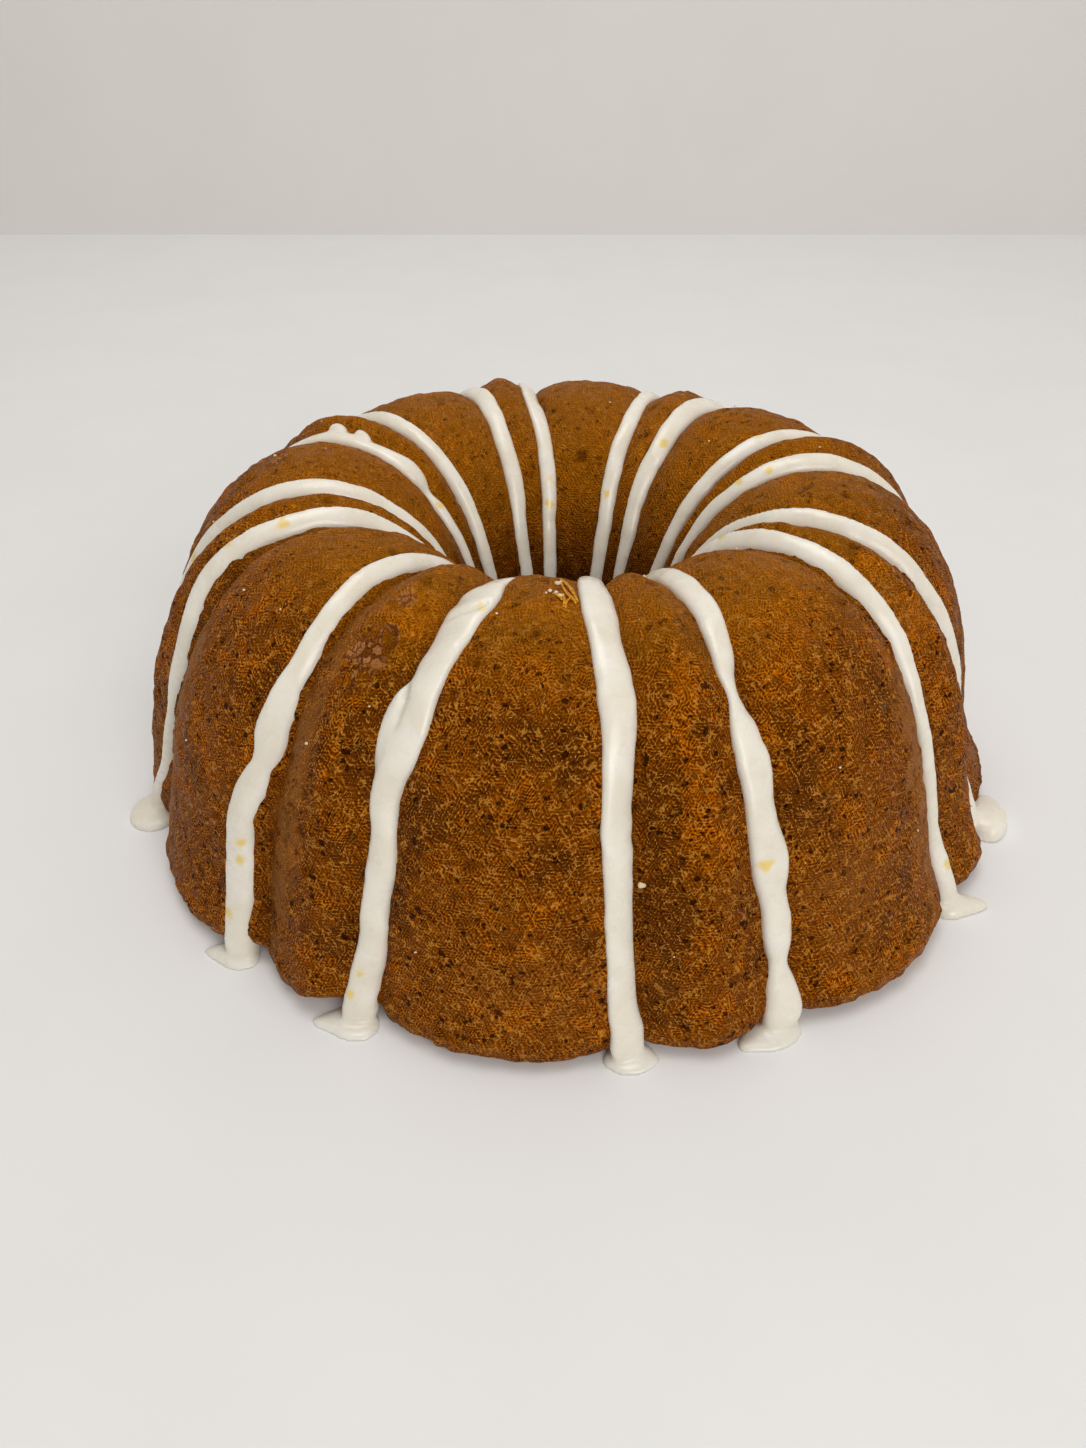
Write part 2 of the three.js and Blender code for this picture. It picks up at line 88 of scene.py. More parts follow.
# ---- The drips: one down each groove, from start to end ----
# Each drip: where it starts and ends, its sway to the side of the groove and its width at every
# DRIP_STEP, and its swells and bends, which add to width and sway: length, amount, reach.
DRIP_STEP = 25
DRIPS = [
    (0, 176, [-1.5, -3.2, -3.3, -1.8, -2.2, -0.6, -1], [7.2, 6, 6.4, 7, 6.6, 6.6, 5],
     [(80, 1, 8), (98, 0.8, 8), (0, 1.2, 5)], []),
    (0, 170, [-1.2, -1, -2.6, -3.2, 0, 1.5, 1], [7.5, 6.6, 7.6, 6.4, 6.2, 5, 4.5],
     [(64, 1.4, 7), (77, -3.4, 4.5), (42, 1.4, 6), (16, -2.4, 4), (2, 1.6, 6)], []),
    (0, 174, [2.5, 1.3, 0.7, 3, 3.8, 4.5, 2], [5.5, 4.4, 4.4, 4.4, 4.4, 4.4, 4.2], [(12, 0.8, 6)], []),
    (0, 168, [0, 1, 3, 2.5, 2, 2.5, 1], [6, 4.5, 4.3, 3.9, 4, 4.2, 4], [], []),
    (9, 178, [0, 1, 1, 1.6, 2, 1.8, 0.5], [4.5, 4.5, 4.5, 4.4, 4.7, 4.3, 3.5], [], []),
    (26, 172, [-1, 0, 1, 1, 1.5, 1.1, 0], [5, 5, 4.5, 4.5, 4.5, 4.5, 4], [(31, 1.2, 6)], []),
    (0, 180, [1, 1.5, 2, 2.5, 3, 2, 0.7], [5, 5, 5, 5.5, 6, 5.2, 4], [], []),
    (14, 176, [-1, 0, 1, 0.5, 0.3, 0.3, -0.1], [5, 5, 5, 4.5, 4.5, 5, 4], [(19, 1.4, 6)], []),
    (0, 182, [0, 1, 1.5, 2.5, 3, 0.6, 1.2], [5, 5, 4.5, 4.5, 5.2, 5, 4], [], []),
    (34, 178, [-1, -1, -1.5, -1.5, -1.5, -0.7, 1], [5, 5, 4.5, 4.5, 5.4, 5.6, 4.4], [(39, 1.6, 7)], []),
    (0, 174, [0, -1, -1, -1, -0.8, -0.6, 0.5], [5, 5, 4.5, 4.5, 4.2, 4.4, 4], [], []),
    (18, 170, [0, -0.5, -1, -1, -0.8, -0.7, -0.2], [4.5, 4.5, 4.5, 4.5, 4.5, 4, 4],
     [(98, 1.5, 5), (118, 2.6, 6), (126, -1.8, 3)], []),
    (0, 172, [-2, -3, -4, -3, -1.5, -1, 0], [4.5, 4.5, 4.5, 4.5, 4.6, 4, 4], [], []),
    (0, 172, [-13, -5.2, -3.8, -6.2, -3.6, -1.5, -1], [3.2, 3.2, 4.5, 4.3, 4.3, 4, 4], [(38, -1.2, 6)],
     []),
    (0, 170, [-6, -6.8, -5.4, -3, -3.7, -2, -1], [6.2, 7, 6.6, 4.8, 4.4, 4.2, 4.2],
     [(62, 0.8, 6), (52, -1.2, 4), (45, 0.8, 4)], [(37, -1.6, 7), (54, 1.4, 5)]),
    (0, 168, [-5, -2.2, -0.8, 1.2, 4, 3.8, 1], [6.8, 6, 5.8, 7.4, 9.6, 8, 4.4],
     [(66, 1.2, 8), (107, -1.4, 3), (116, 1.6, 5)], [(56, -1.7, 7)]),
]
# Where a drip is only a film: drip, length, side, reach, share of its height that it lacks.
FILMS = [(15, 115, 0, 7, 0.8)]
# Folds in the glaze, where a blob or a new run lies on a drip: drip, points (length, and side from
# the groove) from its deep end to where it fades out, half width and depth.
FOLDS = [
    (15, [(78.5, -2.8), (75, -1.9), (69, -1.7), (58, -1.4)], 0.9, 1.3),
    (15, [(98, 7.4), (96, 4.6), (94.8, 1.8), (93, -1)], 0.9, 1.2),
]
FOLD_LEVEL = 2.3  # how far above the crust the glaze is folded
# Blobs on a drip: drip, length, side from its middle, half width, half length, height, and the
# angle in degrees that it is turned by on the skin.
BLOBS = [
    (15, 70, -3.2, 4.7, 10.5, 2.4, -8),
    (11, 97, -3.5, 2.6, 4.5, 2.4, -40),
    (11, 104, -3.0, 1.8, 4.0, 1.8, -30),
    (1, 60, 0.8, 3.4, 8, 2.9, -6),
    (0, 79, 0.3, 4.2, 8, 3.0, 0),
]
# Puddles: azimuth, radius, half size along and across the cake's edge, height, and the direction
# in degrees and length of the point that each is drawn out to.
PUDDLES = [
    (-84, 121, 6.0, 4.6, 1.4, 350, 1),
    (-68.2, 121.8, 7.4, 4.8, 1.5, 190, 2),
    (-37.5, 121, 4.8, 4.8, 3.0, 307, 6),
    (-19.5, 123, 9, 6, 5.5, 0, 0),
    (52, 119.5, 7, 5, 2.2, 40, 1),
    (97, 119, 5.5, 5, 2, 150, 2),
    (141.5, 119.5, 6.5, 5.5, 2.2, 100, 1),
    (179.5, 119, 3.6, 5.5, 1.8, 90, 1.5),
    (-162, 121.5, 7.6, 6.5, 2.4, 160, 1),
    (-131.6, 120.4, 5.4, 4.8, 1.4, 215, 4),
    (-114, 121.2, 6.2, 4.8, 1.4, 204, 4),
]

# ---- How the glaze is shaped ----
EDGE_DEPTH = 0.9  # how far below the skin a drip's edges lie
ROOT_DEPTH = 1.7  # how far below the groove its root lies
CROWN = dict(least=0.6, per_width=0.22, most=2.4)
BEAD_FULLNESS = 0.52
BEAD_POINTS = 13
ROOT_POINTS = (0.6, 0.0, -0.6)
EDGE_SPREAD = 0.2  # what each edge runs out by where it meets the crust
FOOT_START = -2.2  # where a drip that reaches the plate really starts, so that its end is hidden
DRIP_SPACING = 0.9
END_ROUNDING = 0.85  # length of a drip's rounded end, as a share of its width
# Layers of noise along a drip: height, size, and what it adds to the seed. The heights are shares,
# but for its wander in millimetres.
EDGE_WAVES = dict(left=[(0.1, 9, 0), (0.06, 3.2, 1)], right=[(0.1, 8, 2), (0.06, 3.4, 3)])
CROWN_WAVES = [(0.1, 11, 4), (0.05, 4, 5)]
WANDER = (0.25, 12, 6)
LEAN = (0.08, 15, 7)
# A dome: share and size of its outline's waves, and its rings as shares of its radius.
DOME_WAVES = (0.09, 0.8)
DOME_RINGS = (0.02, 0.3, 0.55, 0.75, 0.88, 0.96, 1.0)
DOME_FOOT_RINGS = (0.99, 0.02)
BLOB_FULLNESS = 2.2
PUDDLE_FULLNESS = 2.8
GLAZE_VOXEL = 0.6

# ---- The crust's own relief ----
SKIN_SPACING = 1.0
HOLE_SPACING = 1.7
FINE_UNTIL_LENGTH = 118
FRONT_STEP = 0.44  # degrees between columns
BACK_STEP = 0.72
PIT_RADIUS = (0.8, 2.0)
PIT_DEPTH = (0.25, 0.8)
PIT_ROUNDING = 1.5
# Layers of noise: height, size, seed.
LUMPS = [(0.3, 14, 3), (0.26, 6.5, 4), (0.26, 3.1, 5)]
OPEN_CRUMB = (0.16, 2.3, 31)
RAGGED_PLACES = [(0.35, 5, 41), (0.25, 2.4, 42)]  # as shares of a place's half size
FLAKE_LEVELS = [(1.5, 3.2, 51)]
FLAKE_GRAIN = [(0.7, 2.1, 52)]
RIM_CRUMBLE = [(0.5, 4.2, 61), (0.45, 2.1, 62)]
EDGE_CRUMBLE = [(0.5, 3.2, 63), (0.3, 1.7, 64)]
BATTER_WAVES = [(0.7, 16, 71), (0.5, 5, 72)]
GLAZE_DIMPLES = [(0.03, 2.2, 81), (0.08, 5, 82)]
STAIN_EDGES = [(0.5, 1.4, 91)]  # as a share of a fleck's radius
FLAKE_STEP, FLAKE_HEIGHT, FLAKE_SUNK = 0.5, 0.7, 0.2  # between levels, of them all, below the skin
RIM_REACH = 7
BATTER_HEIGHT = 0.9
BATTER_EDGE = 0.1  # the share of the underside at each edge over which its waves set in
UNDERSIDE_ROWS = 14
EDGE_ANGLES = (22.5, 45, 67.5, 90)
# The first seed of each kind of random shape, and the seeds of the two that are scattered.
SEEDS = dict(drips=100, blobs=300, puddles=400, crumbs=500, shreds=700, pits=7, scatter=21)

# Where the crust is torn, rusty and golden, smooth and tan with painted light, or dark, partly with
# painted shade. Each kind: how soft its edges are, its value on the underside, and its places: length,
# azimuth, half length, half width, strength.
CRUST_PLACES = dict(
    torn=(0.5, 0.25, [
        (83, -119.6, 6, 5.5, 1.0), (76, -119.0, 5, 4, 0.9), (94, -119.5, 4, 3, 0.7),
        (104, -91.0, 3.5, 3, 0.7), (76, -32.5, 9, 6, 0.55), (60, 22, 8, 6, 0.6), (88, 172, 8, 7, 0.7),
        (52, 66, 7, 5, 0.6), (3, -50, 6, 16, 0.44), (3, -103, 5, 18, 0.4), (2, -76, 5, 9, 0.4),
        (2, -145, 5, 16, 0.4), (2, 20, 5, 30, 0.4),
    ]),
    golden=(1.0, 0, [
        (74, -75.2, 26, 5, 1.0), (84, -118, 22, 8, 0.8), (88, -56, 16, 14, 0.6),
        (70, -32.5, 20, 6, 0.8), (62, -120, 12, 3, 0.8), (96, -98, 14, 8, 0.5), (72, -63.5, 8, 3, 0.6),
        (80, -146, 20, 14, 0.5), (70, 22, 24, 6, 0.7), (80, 128, 22, 10, 0.7), (64, 172, 20, 6, 0.8),
        (90, 60, 20, 9, 0.6),
    ]),
    smooth_and_painted_light=(1.0, 0, [
        (52, -125.4, 50, 5.6, 1.0), (42, -153, 42, 9, 0.9), (100, -156, 30, 8, 0.6),
        (42, -42.5, 40, 7, 0.9), (18, -92, 14, 26, 0.3), (30, -58, 20, 16, 0.4), (50, 10, 40, 8, 0.7),
        (50, 55, 40, 8, 0.7), (40, 100, 36, 10, 0.7), (50, 145, 40, 8, 0.8), (110, 90, 20, 60, 0.3),
    ]),
    dark_and_painted_shade=(1.0, 0, [
        (52, -115.5, 50, 6, 0.9), (48, -80, 44, 4.5, 0.9), (50, -109, 40, 3.5, 0.7),
        (66, -63.5, 16, 5, 0.8), (60, 17, 40, 5, 0.7), (60, 107, 40, 6, 0.7), (60, 165, 40, 5, 0.7),
    ]),
)
SOFT_EDGE_SHIFT = 0.3
# Single pits, darkened with painted shade by their depth: length, azimuth, radius, depth.
DARK_PITS = [(126, 83, 2.6, 1.6), (92, -96, 1.4, 1.0), (60, -88.5, 1.2, 0.9), (41, -46, 1.6, 1.1)]
DEEP_PIT = 0.8  # a pit of this depth is as dark as a pit gets
RIDGE_BELOW, PLACE_BELOW = 0.5, -0.1  # the values of ridge and place on the underside

# ---- Flecks, crumbs and zest ----
# Flecks of yellow zest in the glaze: drip, length, side from its middle, radius.
ZEST_STAINS = [
    (13, 94, 1.0, 1.6), (13, 82, -1.0, 1.4), (11, 93, 0, 1.5), (11, 120, 1.0, 1.3),
    (11, 130, 0.8, 1.2), (8, 132, -0.4, 1.6), (8, 139, 0.2, 1.4), (7, 135, 0.2, 1.3),
    (13, 48, -1.5, 1.1), (14, 64, -1.0, 0.9), (14, 55, -0.8, 0.9), (14, 32, 0.9, 1.7),
    (14, 28, 1.3, 1.6), (14, 12, -1.8, 1.5), (15, 97, 2.4, 1.5), (2, 120, 0.4, 1.3), (4, 118, 0.8, 1.3),
    (5, 106, 1.2, 1.3), (4, 111, -0.6, 1.2), (3, 70, 1.0, 1.5), (1, 42, -2.2, 1.7),
    (2, 12, 0.6, 1.4), (15, 14, -0.6, 1.2), (15, 8, -1.6, 1.3), (6, 60, 1.0, 1.6),
    (9, 88, -1.0, 1.6), (10, 70, 0.6, 1.5), (12, 66, 0.8, 1.6), (6, 118, -1.0, 1.4),
]
STAIN_LEVEL = 2.4
# Crumbs and sugar grains on the crust: length, azimuth, size.
PALE_CRUMBS = [
    (108, -93.2, 1.4), (109, -92.7, 1.0), (104, -94.5, 0.95), (103.6, -93.3, 0.9), (102.6, -92.5, 1.2),
    (102.9, -92.0, 0.8), (103, -95.2, 0.6), (82, -138, 0.6), (96, -103, 0.6), (108, 76.2, 0.7),
    (114, 52, 0.7), (129, 3.8, 0.6), (112, -43.2, 0.7), (61, -124, 0.9), (41, -82.5, 1.6),
    (70, 128, 0.8), (90, 171, 0.9), (64, 60, 0.8), (98, 12, 0.6),
]
CRUMB_BREAKS = [(0.35, 0.9), (0.2, 0.4)]  # layers of noise: share of the radius, size
# Shreds of zest: length, azimuth, size, turn in degrees, thickness and bend as a share of the size.
ZEST_SHREDS = [
    (106.6, -91.1, 12, -21, 0.32, 0.04), (106, -91.5, 9, -17, 0.24, -0.05),
    (102.5, -90.6, 5, -30, 0.24, 0.08), (101, -92.1, 4.4, -6, 0.28, 0.12),
    (100.4, -91.0, 3.6, 14, 0.25, -0.1), (102, -93.1, 3.2, -48, 0.25, 0.15),
]
SHRED_WAVES = [(0.3, 1.1, 0)]


# ---- Numbers and noise ----
HASH_AXES = (73856093, 19349663, 83492791)
HASH_SEED, HASH_START, HASH_MIX, HASH_MOST = 40503, 977, 1274126177, 0xFFFFFF
SEED_SHIFT = 17.31
LINE_PLACE = (3.7, 9.1)  # where in the noise a line is read


def smoothstep(x, low=0.0, high=1.0):
    t = np.clip((x - low) / (high - low), 0, 1)
    return t * t * (3 - 2 * t)


def bell(x, reach):
    return np.exp(-((x / reach) ** 2))


def hashed(cell, seed):
    """A repeatable number from 0 to 1 for each whole-numbered cell."""
    x, y, z = (cell[..., k] * factor for k, factor in enumerate(HASH_AXES))
    mixed = x ^ y ^ z ^ (seed * HASH_SEED + HASH_START)
    mixed = (mixed ^ (mixed >> 13)) * HASH_MIX
    mixed = (mixed ^ (mixed >> 15)) & HASH_MOST
    return mixed / HASH_MOST


def noise(points, size, seed):
    """Smooth noise from -1 to 1, with features of that size."""
    place = np.asarray(points, float) / size + seed * SEED_SHIFT
    cell = np.floor(place).astype(np.int64)
    t = place - cell
    t = t * t * t * (t * (6 * t - 15) + 10)
    total = np.zeros(place.shape[:-1])
    for corner in range(8):
        step = np.array([corner & 1, corner >> 1 & 1, corner >> 2 & 1])
        weight = np.prod(np.where(step == 1, t, 1 - t), axis=-1)
        total += weight * hashed(cell + step, seed)
    return 2 * total - 1


def layered(points, layers, start=0.0):
    """Layers of noise on top of a start, each given as height, size and seed."""
    return sum((height * noise(points, size, seed) for height, size, seed in layers), start)


def wavy(length, layers, seed, start=1.0):
    """Layers of noise along a line, each given as height, size and what it adds to the seed."""
    length = np.asarray(length, float)
    points = np.stack([length, *(0 * length + c for c in LINE_PLACE)], -1)
    return layered(points, [(height, size, seed + own) for height, size, own in layers], start)


def turn_from(azimuth, other):
    """The turn from one azimuth to another, from -180 to 180 degrees."""
    return np.mod(other - azimuth + 180, 360) - 180


# ---- The cake's skin ----
def measure_arch():
    """The arch's points (radius and height), and the length of the arch up to each."""
    angle = np.linspace(0, 1, ARCH_SAMPLES + 1) * math.pi / 2
    sides = []
    for side in (OUTER_SIDE, HOLE_SIDE):
        rise = np.sin(angle) ** (2 / side["power"])
        spread = (1 - side["lean"] * rise) * np.cos(angle)
        radius = CREST_RADIUS + (side["foot"] - CREST_RADIUS) * spread
        sides.append(np.stack([radius, CREST_HEIGHT * rise], -1))
    points = np.concatenate([sides[0], sides[1][::-1][1:]])
    steps = np.linalg.norm(np.diff(points, axis=0), axis=1)
    return points, np.concatenate([[0], np.cumsum(steps)])


ARCH_POINTS, ARCH_LENGTHS = measure_arch()
ARCH_LENGTH = ARCH_LENGTHS[-1]


def arch_point(length):
    """Radius and height of the arch at a length; past its ends it runs straight on."""
    length = np.asarray(length, float)
    inside = np.clip(length, 0, ARCH_LENGTH)
    point = np.stack([np.interp(inside, ARCH_LENGTHS, ARCH_POINTS[:, k]) for k in (0, 1)], -1)
    for over, a, b in ((np.minimum(length, 0), 0, 1), (np.maximum(length - ARCH_LENGTH, 0), -2, -1)):
        way = ARCH_POINTS[b] - ARCH_POINTS[a]
        point = point + over[..., None] * way / np.linalg.norm(way)
    return point


def arch_normal(length):
    before = arch_point(np.maximum(length - NORMAL_SPAN, 0))
    after = arch_point(np.minimum(length + NORMAL_SPAN, ARCH_LENGTH))
    along = after - before
    normal = np.stack([along[..., 1], -along[..., 0]], -1)
    return normal / np.linalg.norm(normal, axis=-1, keepdims=True)


def round_the_ring(values, azimuth):
    """A value given for each of the lobes, blended round the ring."""
    place = np.mod(azimuth - FIRST_NARROW, 360) / (PAIR_ANGLE / 2)
    lobe = np.floor(place).astype(int)
    values = np.asarray(values, float)
    blend = smoothstep(place - lobe)
    return values[lobe % LOBES] * (1 - blend) + values[(lobe + 1) % LOBES] * blend


def growth(length, azimuth):
    fraction = length / ARCH_LENGTH
    return sum(
        round_the_ring(values, azimuth) * bell(fraction - at, reach) for at, reach, values in GROWTHS)


def lobe_depth(lobe, fraction):
    inward = smoothstep(fraction, *lobe["fade"])
    depth = lobe["depth"] * (1 - inward) + lobe["hole_depth"] * inward
    return depth + lobe["flare"] * np.exp(-fraction / FLARE_REACH)


def across_lobe(azimuth):
    """Whether a lobe is narrow, and the place across it, from -1 to 1."""
    turn = np.mod(azimuth - (FIRST_NARROW - NARROW_HALF), PAIR_ANGLE)
    narrow = turn < 2 * NARROW_HALF
    u = np.where(narrow, turn / NARROW_HALF - 1, (turn - 2 * NARROW_HALF) / WIDE_HALF - 1)
    return narrow, np.clip(u, -1, 1)


def lobe_section(azimuth):
    """Whether a lobe is narrow, and its height across, from 0 in the grooves to 1."""
    narrow, u = across_lobe(azimuth)
    wide = np.maximum(1 - np.abs(u) ** WIDE_SECTION["side"], 0) ** WIDE_SECTION["fullness"]
    rounding = NARROW_SECTION["rounding"]
    edge = math.hypot(1, rounding)
    roof = np.maximum((edge - np.hypot(u, rounding)) / (edge - rounding), 0)
    return narrow, np.where(narrow, roof ** NARROW_SECTION["fullness"], wide)


def relief(length, azimuth):
    """How far the lobes stand out of the grooves."""
    narrow, section = lobe_section(azimuth)
    fraction = length / ARCH_LENGTH
    return section * np.where(narrow, lobe_depth(NARROW_LOBE, fraction), lobe_depth(WIDE_LOBE, fraction))


def foot_lift(azimuth):
    lift = np.zeros_like(azimuth, dtype=float)
    for middle, height, spread in FOOT_LIFTS:
        lift += height * bell(turn_from(middle, azimuth), spread)
    return lift


def on_ring(radius, azimuth, z):
    turn = np.radians(azimuth)
    return np.stack(np.broadcast_arrays(radius * np.cos(turn), radius * np.sin(turn), z), -1)


def skin(length, azimuth, raised=0.0, lobes=1.0):
    """A point of the cake's skin, or a little above it, with a share of the lobes."""
    length, azimuth = np.broadcast_arrays(np.asarray(length, float), np.asarray(azimuth, float))
    out = growth(length, azimuth) + lobes * relief(length, azimuth) + raised
    point = arch_point(length) + arch_normal(length) * out[..., None]
    return on_ring(point[..., 0], azimuth, point[..., 1])


# ---- Meshes ----
def make_object(name, points, faces, smooth=True):
    mesh = bpy.data.meshes.new(name)
    mesh.from_pydata((np.asarray(points) * MM).tolist(), [], faces)
    mesh.validate()
    if smooth:
        mesh.shade_smooth()
    made = bpy.data.objects.new(name, mesh)
    bpy.context.scene.collection.objects.link(made)
    return made


def set_values(obj, name, values):
    """Stores a number for each point of the mesh, for its material to read."""
    attribute = obj.data.attributes.new(name, "FLOAT", "POINT")
    attribute.data.foreach_set("value", np.asarray(values, np.float32).ravel())


def grid_faces(rows, count, closed=False):
    """The faces between rings of points, also between the last and the first if it is closed."""
    faces = []
    for i in range(rows if closed else rows - 1):
        here, after = i * count, (i + 1) % rows * count
        for j in range(count):
            k = (j + 1) % count
            faces.append((here + j, here + k, after + k, after + j))
    return faces


def ring_shell(rings):
    """Points and faces of a closed shell from rings of points, capped at both ends."""
    rows, count = rings.shape[:2]
    last = (rows - 1) * count
    caps = [tuple(range(count))[::-1], tuple(range(last, last + count))]
    return rings.reshape(-1, 3), grid_faces(rows, count) + caps


def join_shells(shells):
    points, faces, offset = [], [], 0
    for shell_points, shell_faces in shells:
        points.append(shell_points)
        faces += [tuple(v + offset for v in face) for face in shell_faces]
        offset += len(shell_points)
    return np.concatenate(points), faces


# ---- The cake ----
def ring_columns():
    """Azimuths of the skin's columns, closer together in front."""
    return np.concatenate([np.arange(-180, 0, FRONT_STEP), np.arange(0, 180, BACK_STEP)])


def skin_rows():
    """Lengths of the skin's rows, wider apart in the hole."""
    outer = np.arange(FOOT_EDGE, FINE_UNTIL_LENGTH, SKIN_SPACING)
    count = int((ARCH_LENGTH - FINE_UNTIL_LENGTH) / HOLE_SPACING)
    return np.concatenate([outer, np.linspace(FINE_UNTIL_LENGTH, ARCH_LENGTH - HOLE_EDGE, count)])


def grid_normals(points):
    """Outward normals of a grid of points that closes round its columns."""
    along = np.gradient(points, axis=0)
    round_ring = np.roll(points, -1, axis=1) - np.roll(points, 1, axis=1)
    normal = np.cross(round_ring, along)
    return normal / np.linalg.norm(normal, axis=-1, keepdims=True)


def away_from(azimuth, columns, length):
    """How far the columns lie from an azimuth along the ring, at a length of the arch."""
    return turn_from(azimuth, columns) * math.pi / 180 * arch_point(length)[0]


def stamp_pits(depths, lengths, columns, spots):
    """Adds pits to a grid of depths, each given as length, azimuth, radius and depth."""
    for length, azimuth, radius, deepest in spots:
        rows = np.where(np.abs(lengths - length) < radius)[0]
        if not len(rows):
            continue
        away = away_from(azimuth, columns, length)
        near = np.where(np.abs(away) < radius)[0]
        distance = np.hypot(lengths[rows][:, None] - length, away[near][None, :]) / radius
        pit = deepest * (1 - smoothstep(distance) ** PIT_ROUNDING)
        depths[np.ix_(rows, near)] = np.maximum(depths[np.ix_(rows, near)], pit)


def random_pits(count=2600, margin=2, widest=116, rarity=2.5):
    """Pores of the crust, spread evenly over its area."""
    generator = np.random.default_rng(SEEDS["pits"])
    (least, most), (shallow, deep) = PIT_RADIUS, PIT_DEPTH
    spots = []
    while len(spots) < count:
        length = generator.uniform(margin, ARCH_LENGTH - margin)
        if generator.uniform() > arch_point(length)[0] / widest:
            continue
        size = generator.uniform() ** rarity
        radius = least + (most - least) * size
        depth = shallow + (deep - shallow) * size * generator.uniform(0.5, 1)
        spots.append((length, generator.uniform(-180, 180), radius, depth))
    return spots


def place_mask(places, lengths, columns, ragged, soft):
    """From 0 to 1, how far each point lies in one of the places, whose edges are ragged."""
    mask = np.zeros(ragged.shape)
    for length, azimuth, half_length, half_width, strength in places:
        away = away_from(azimuth, columns, length)
        distance = np.hypot((lengths[:, None] - length) / half_length, away[None, :] / half_width)
        inside = smoothstep(1 + soft * SOFT_EDGE_SHIFT - distance + ragged, 0, soft)
        mask = np.maximum(mask, strength * inside)
    return mask


def crust_height(lengths, base, torn, pits):
    """How far the crust stands out of the smooth form."""
    height = layered(base, LUMPS)
    # the open crumb: rounded ridges between hollows
    tall, size, seed = OPEN_CRUMB
    height += tall * (1 - 2 * np.abs(noise(base, size, seed)))
    # flakes lie at a few levels where the crust is torn
    crags = np.round(layered(base, FLAKE_LEVELS)) * FLAKE_STEP + layered(base, FLAKE_GRAIN)
    height += torn * (FLAKE_HEIGHT * crags - FLAKE_SUNK)
    # the lower rim is drier and breaks up
    height += bell(lengths, RIM_REACH)[:, None] * layered(base, RIM_CRUMBLE)
    return height - pits


def underside_rows(columns, outer, inner, lift):
    """Rows from the hole's foot over the underside to the outer foot: two rounded edges, and the
    low waves of a risen batter between them."""
    rows = []
    for angle in np.radians(EDGE_ANGLES):
        radius = inner + HOLE_EDGE * (1 - math.cos(angle))
        rows.append(on_ring(radius, columns, HOLE_EDGE * (1 - math.sin(angle))))
    for share in np.linspace(0, 1, UNDERSIDE_ROWS + 2)[1:-1]:
        radius = (inner + HOLE_EDGE) * (1 - share) + (outer - FOOT_EDGE) * share
        level = on_ring(radius, columns, 0.0)
        sunk = smoothstep(share, 0, BATTER_EDGE) * smoothstep(1 - share, 0, BATTER_EDGE)
        level[:, 2] = layered(level, BATTER_WAVES, BATTER_HEIGHT) * sunk
        rows.append(level)
    for angle in np.radians(EDGE_ANGLES[::-1]):
        radius = outer - FOOT_EDGE * (1 - math.cos(angle))
        edge = on_ring(radius, columns, FOOT_EDGE * (1 - math.sin(angle)))
        edge[:, 2] += lift + math.cos(angle) * layered(edge, EDGE_CRUMBLE)
        rows.append(edge)
    rows = np.array(rows)
    rows[..., 2] = np.maximum(rows[..., 2], 0)
    return rows


def make_cake():
    columns = ring_columns()
    lengths = skin_rows()
    base = skin(lengths[:, None], columns[None, :])
    lift = foot_lift(columns)
    base[..., 2] += lift[None, :] * bell(lengths, LIFT_REACH)[:, None]

    pits = np.zeros(base.shape[:-1])
    stamp_pits(pits, lengths, columns, random_pits())
    stamp_pits(pits, lengths, columns, DARK_PITS)
    _, section = lobe_section(columns)
    ragged = layered(base, RAGGED_PLACES)
    values = {"ridge": (np.tile(section, (len(lengths), 1)), RIDGE_BELOW)}
    for name, (soft, below, places) in CRUST_PLACES.items():
        values[name] = (place_mask(places, lengths, columns, ragged, soft), below)
    # painted shade in the pits, darker the deeper they are
    values["pit"] = (np.clip(pits / DEEP_PIT, 0, 1), 0)

    height = crust_height(lengths, base, values["torn"][0], pits)
    points = base + grid_normals(base) * height[..., None]
    outer, inner = (np.hypot(row[:, 0], row[:, 1]) for row in (points[0], points[-1]))
    below = underside_rows(columns, outer, inner, lift)
    points = np.concatenate([points, below])

    rows, count = points.shape[:2]
    cake = make_object("cake_body", points.reshape(-1, 3), grid_faces(rows, count, closed=True))
    add_quarter_uvs(cake, rows, count)
    for name, (grid, value) in values.items():
        set_values(cake, name, np.concatenate([grid, np.full((len(below), count), float(value))]))
    # the place along the arch, from 0 to 1, and less than 0 on the underside
    bare = np.full(len(below), PLACE_BELOW)
    bare[-len(EDGE_ANGLES):] = 0
    bare[:len(EDGE_ANGLES)] = 1
    place = np.concatenate([lengths / ARCH_LENGTH, bare])
    set_values(cake, "place", np.tile(place[:, None], (1, count)))
    return cake


def add_quarter_uvs(obj, rows, count):
    """Unrolls the ring into four equal sheets, two by two, so that a baked map is spread evenly."""
    quarter = count / 4
    gap = 0.004
    face = np.arange(rows * count)
    row, column = face // count, face % count
    sheet = np.minimum(column // quarter, 3)
    corners = []
    for add_row, add_column in ((0, 0), (0, 1), (1, 1), (1, 0)):
        u = (column + add_column - sheet * quarter) / quarter
        v = (row + add_row) / rows
        u = (sheet % 2 + gap + u * (1 - 2 * gap)) / 2
        v = (sheet // 2 + gap + v * (1 - 2 * gap)) / 2
        corners.append(np.stack([u, v], -1))
    layer = obj.data.uv_layers.new(name="OFBake")
    layer.data.foreach_set("uv", np.stack(corners, 1).astype(np.float32).ravel())


# ---- The glaze ----
def drip_value(values, length):
    """One of a drip's values, given at every DRIP_STEP and blended between them."""
    place = np.clip(np.asarray(length, float) / DRIP_STEP, 0, len(values) - 1)
    step = np.minimum(np.floor(place).astype(int), len(values) - 2)
    values = np.asarray(values, float)
    blend = smoothstep(place - step)
    return values[step] * (1 - blend) + values[step + 1] * blend


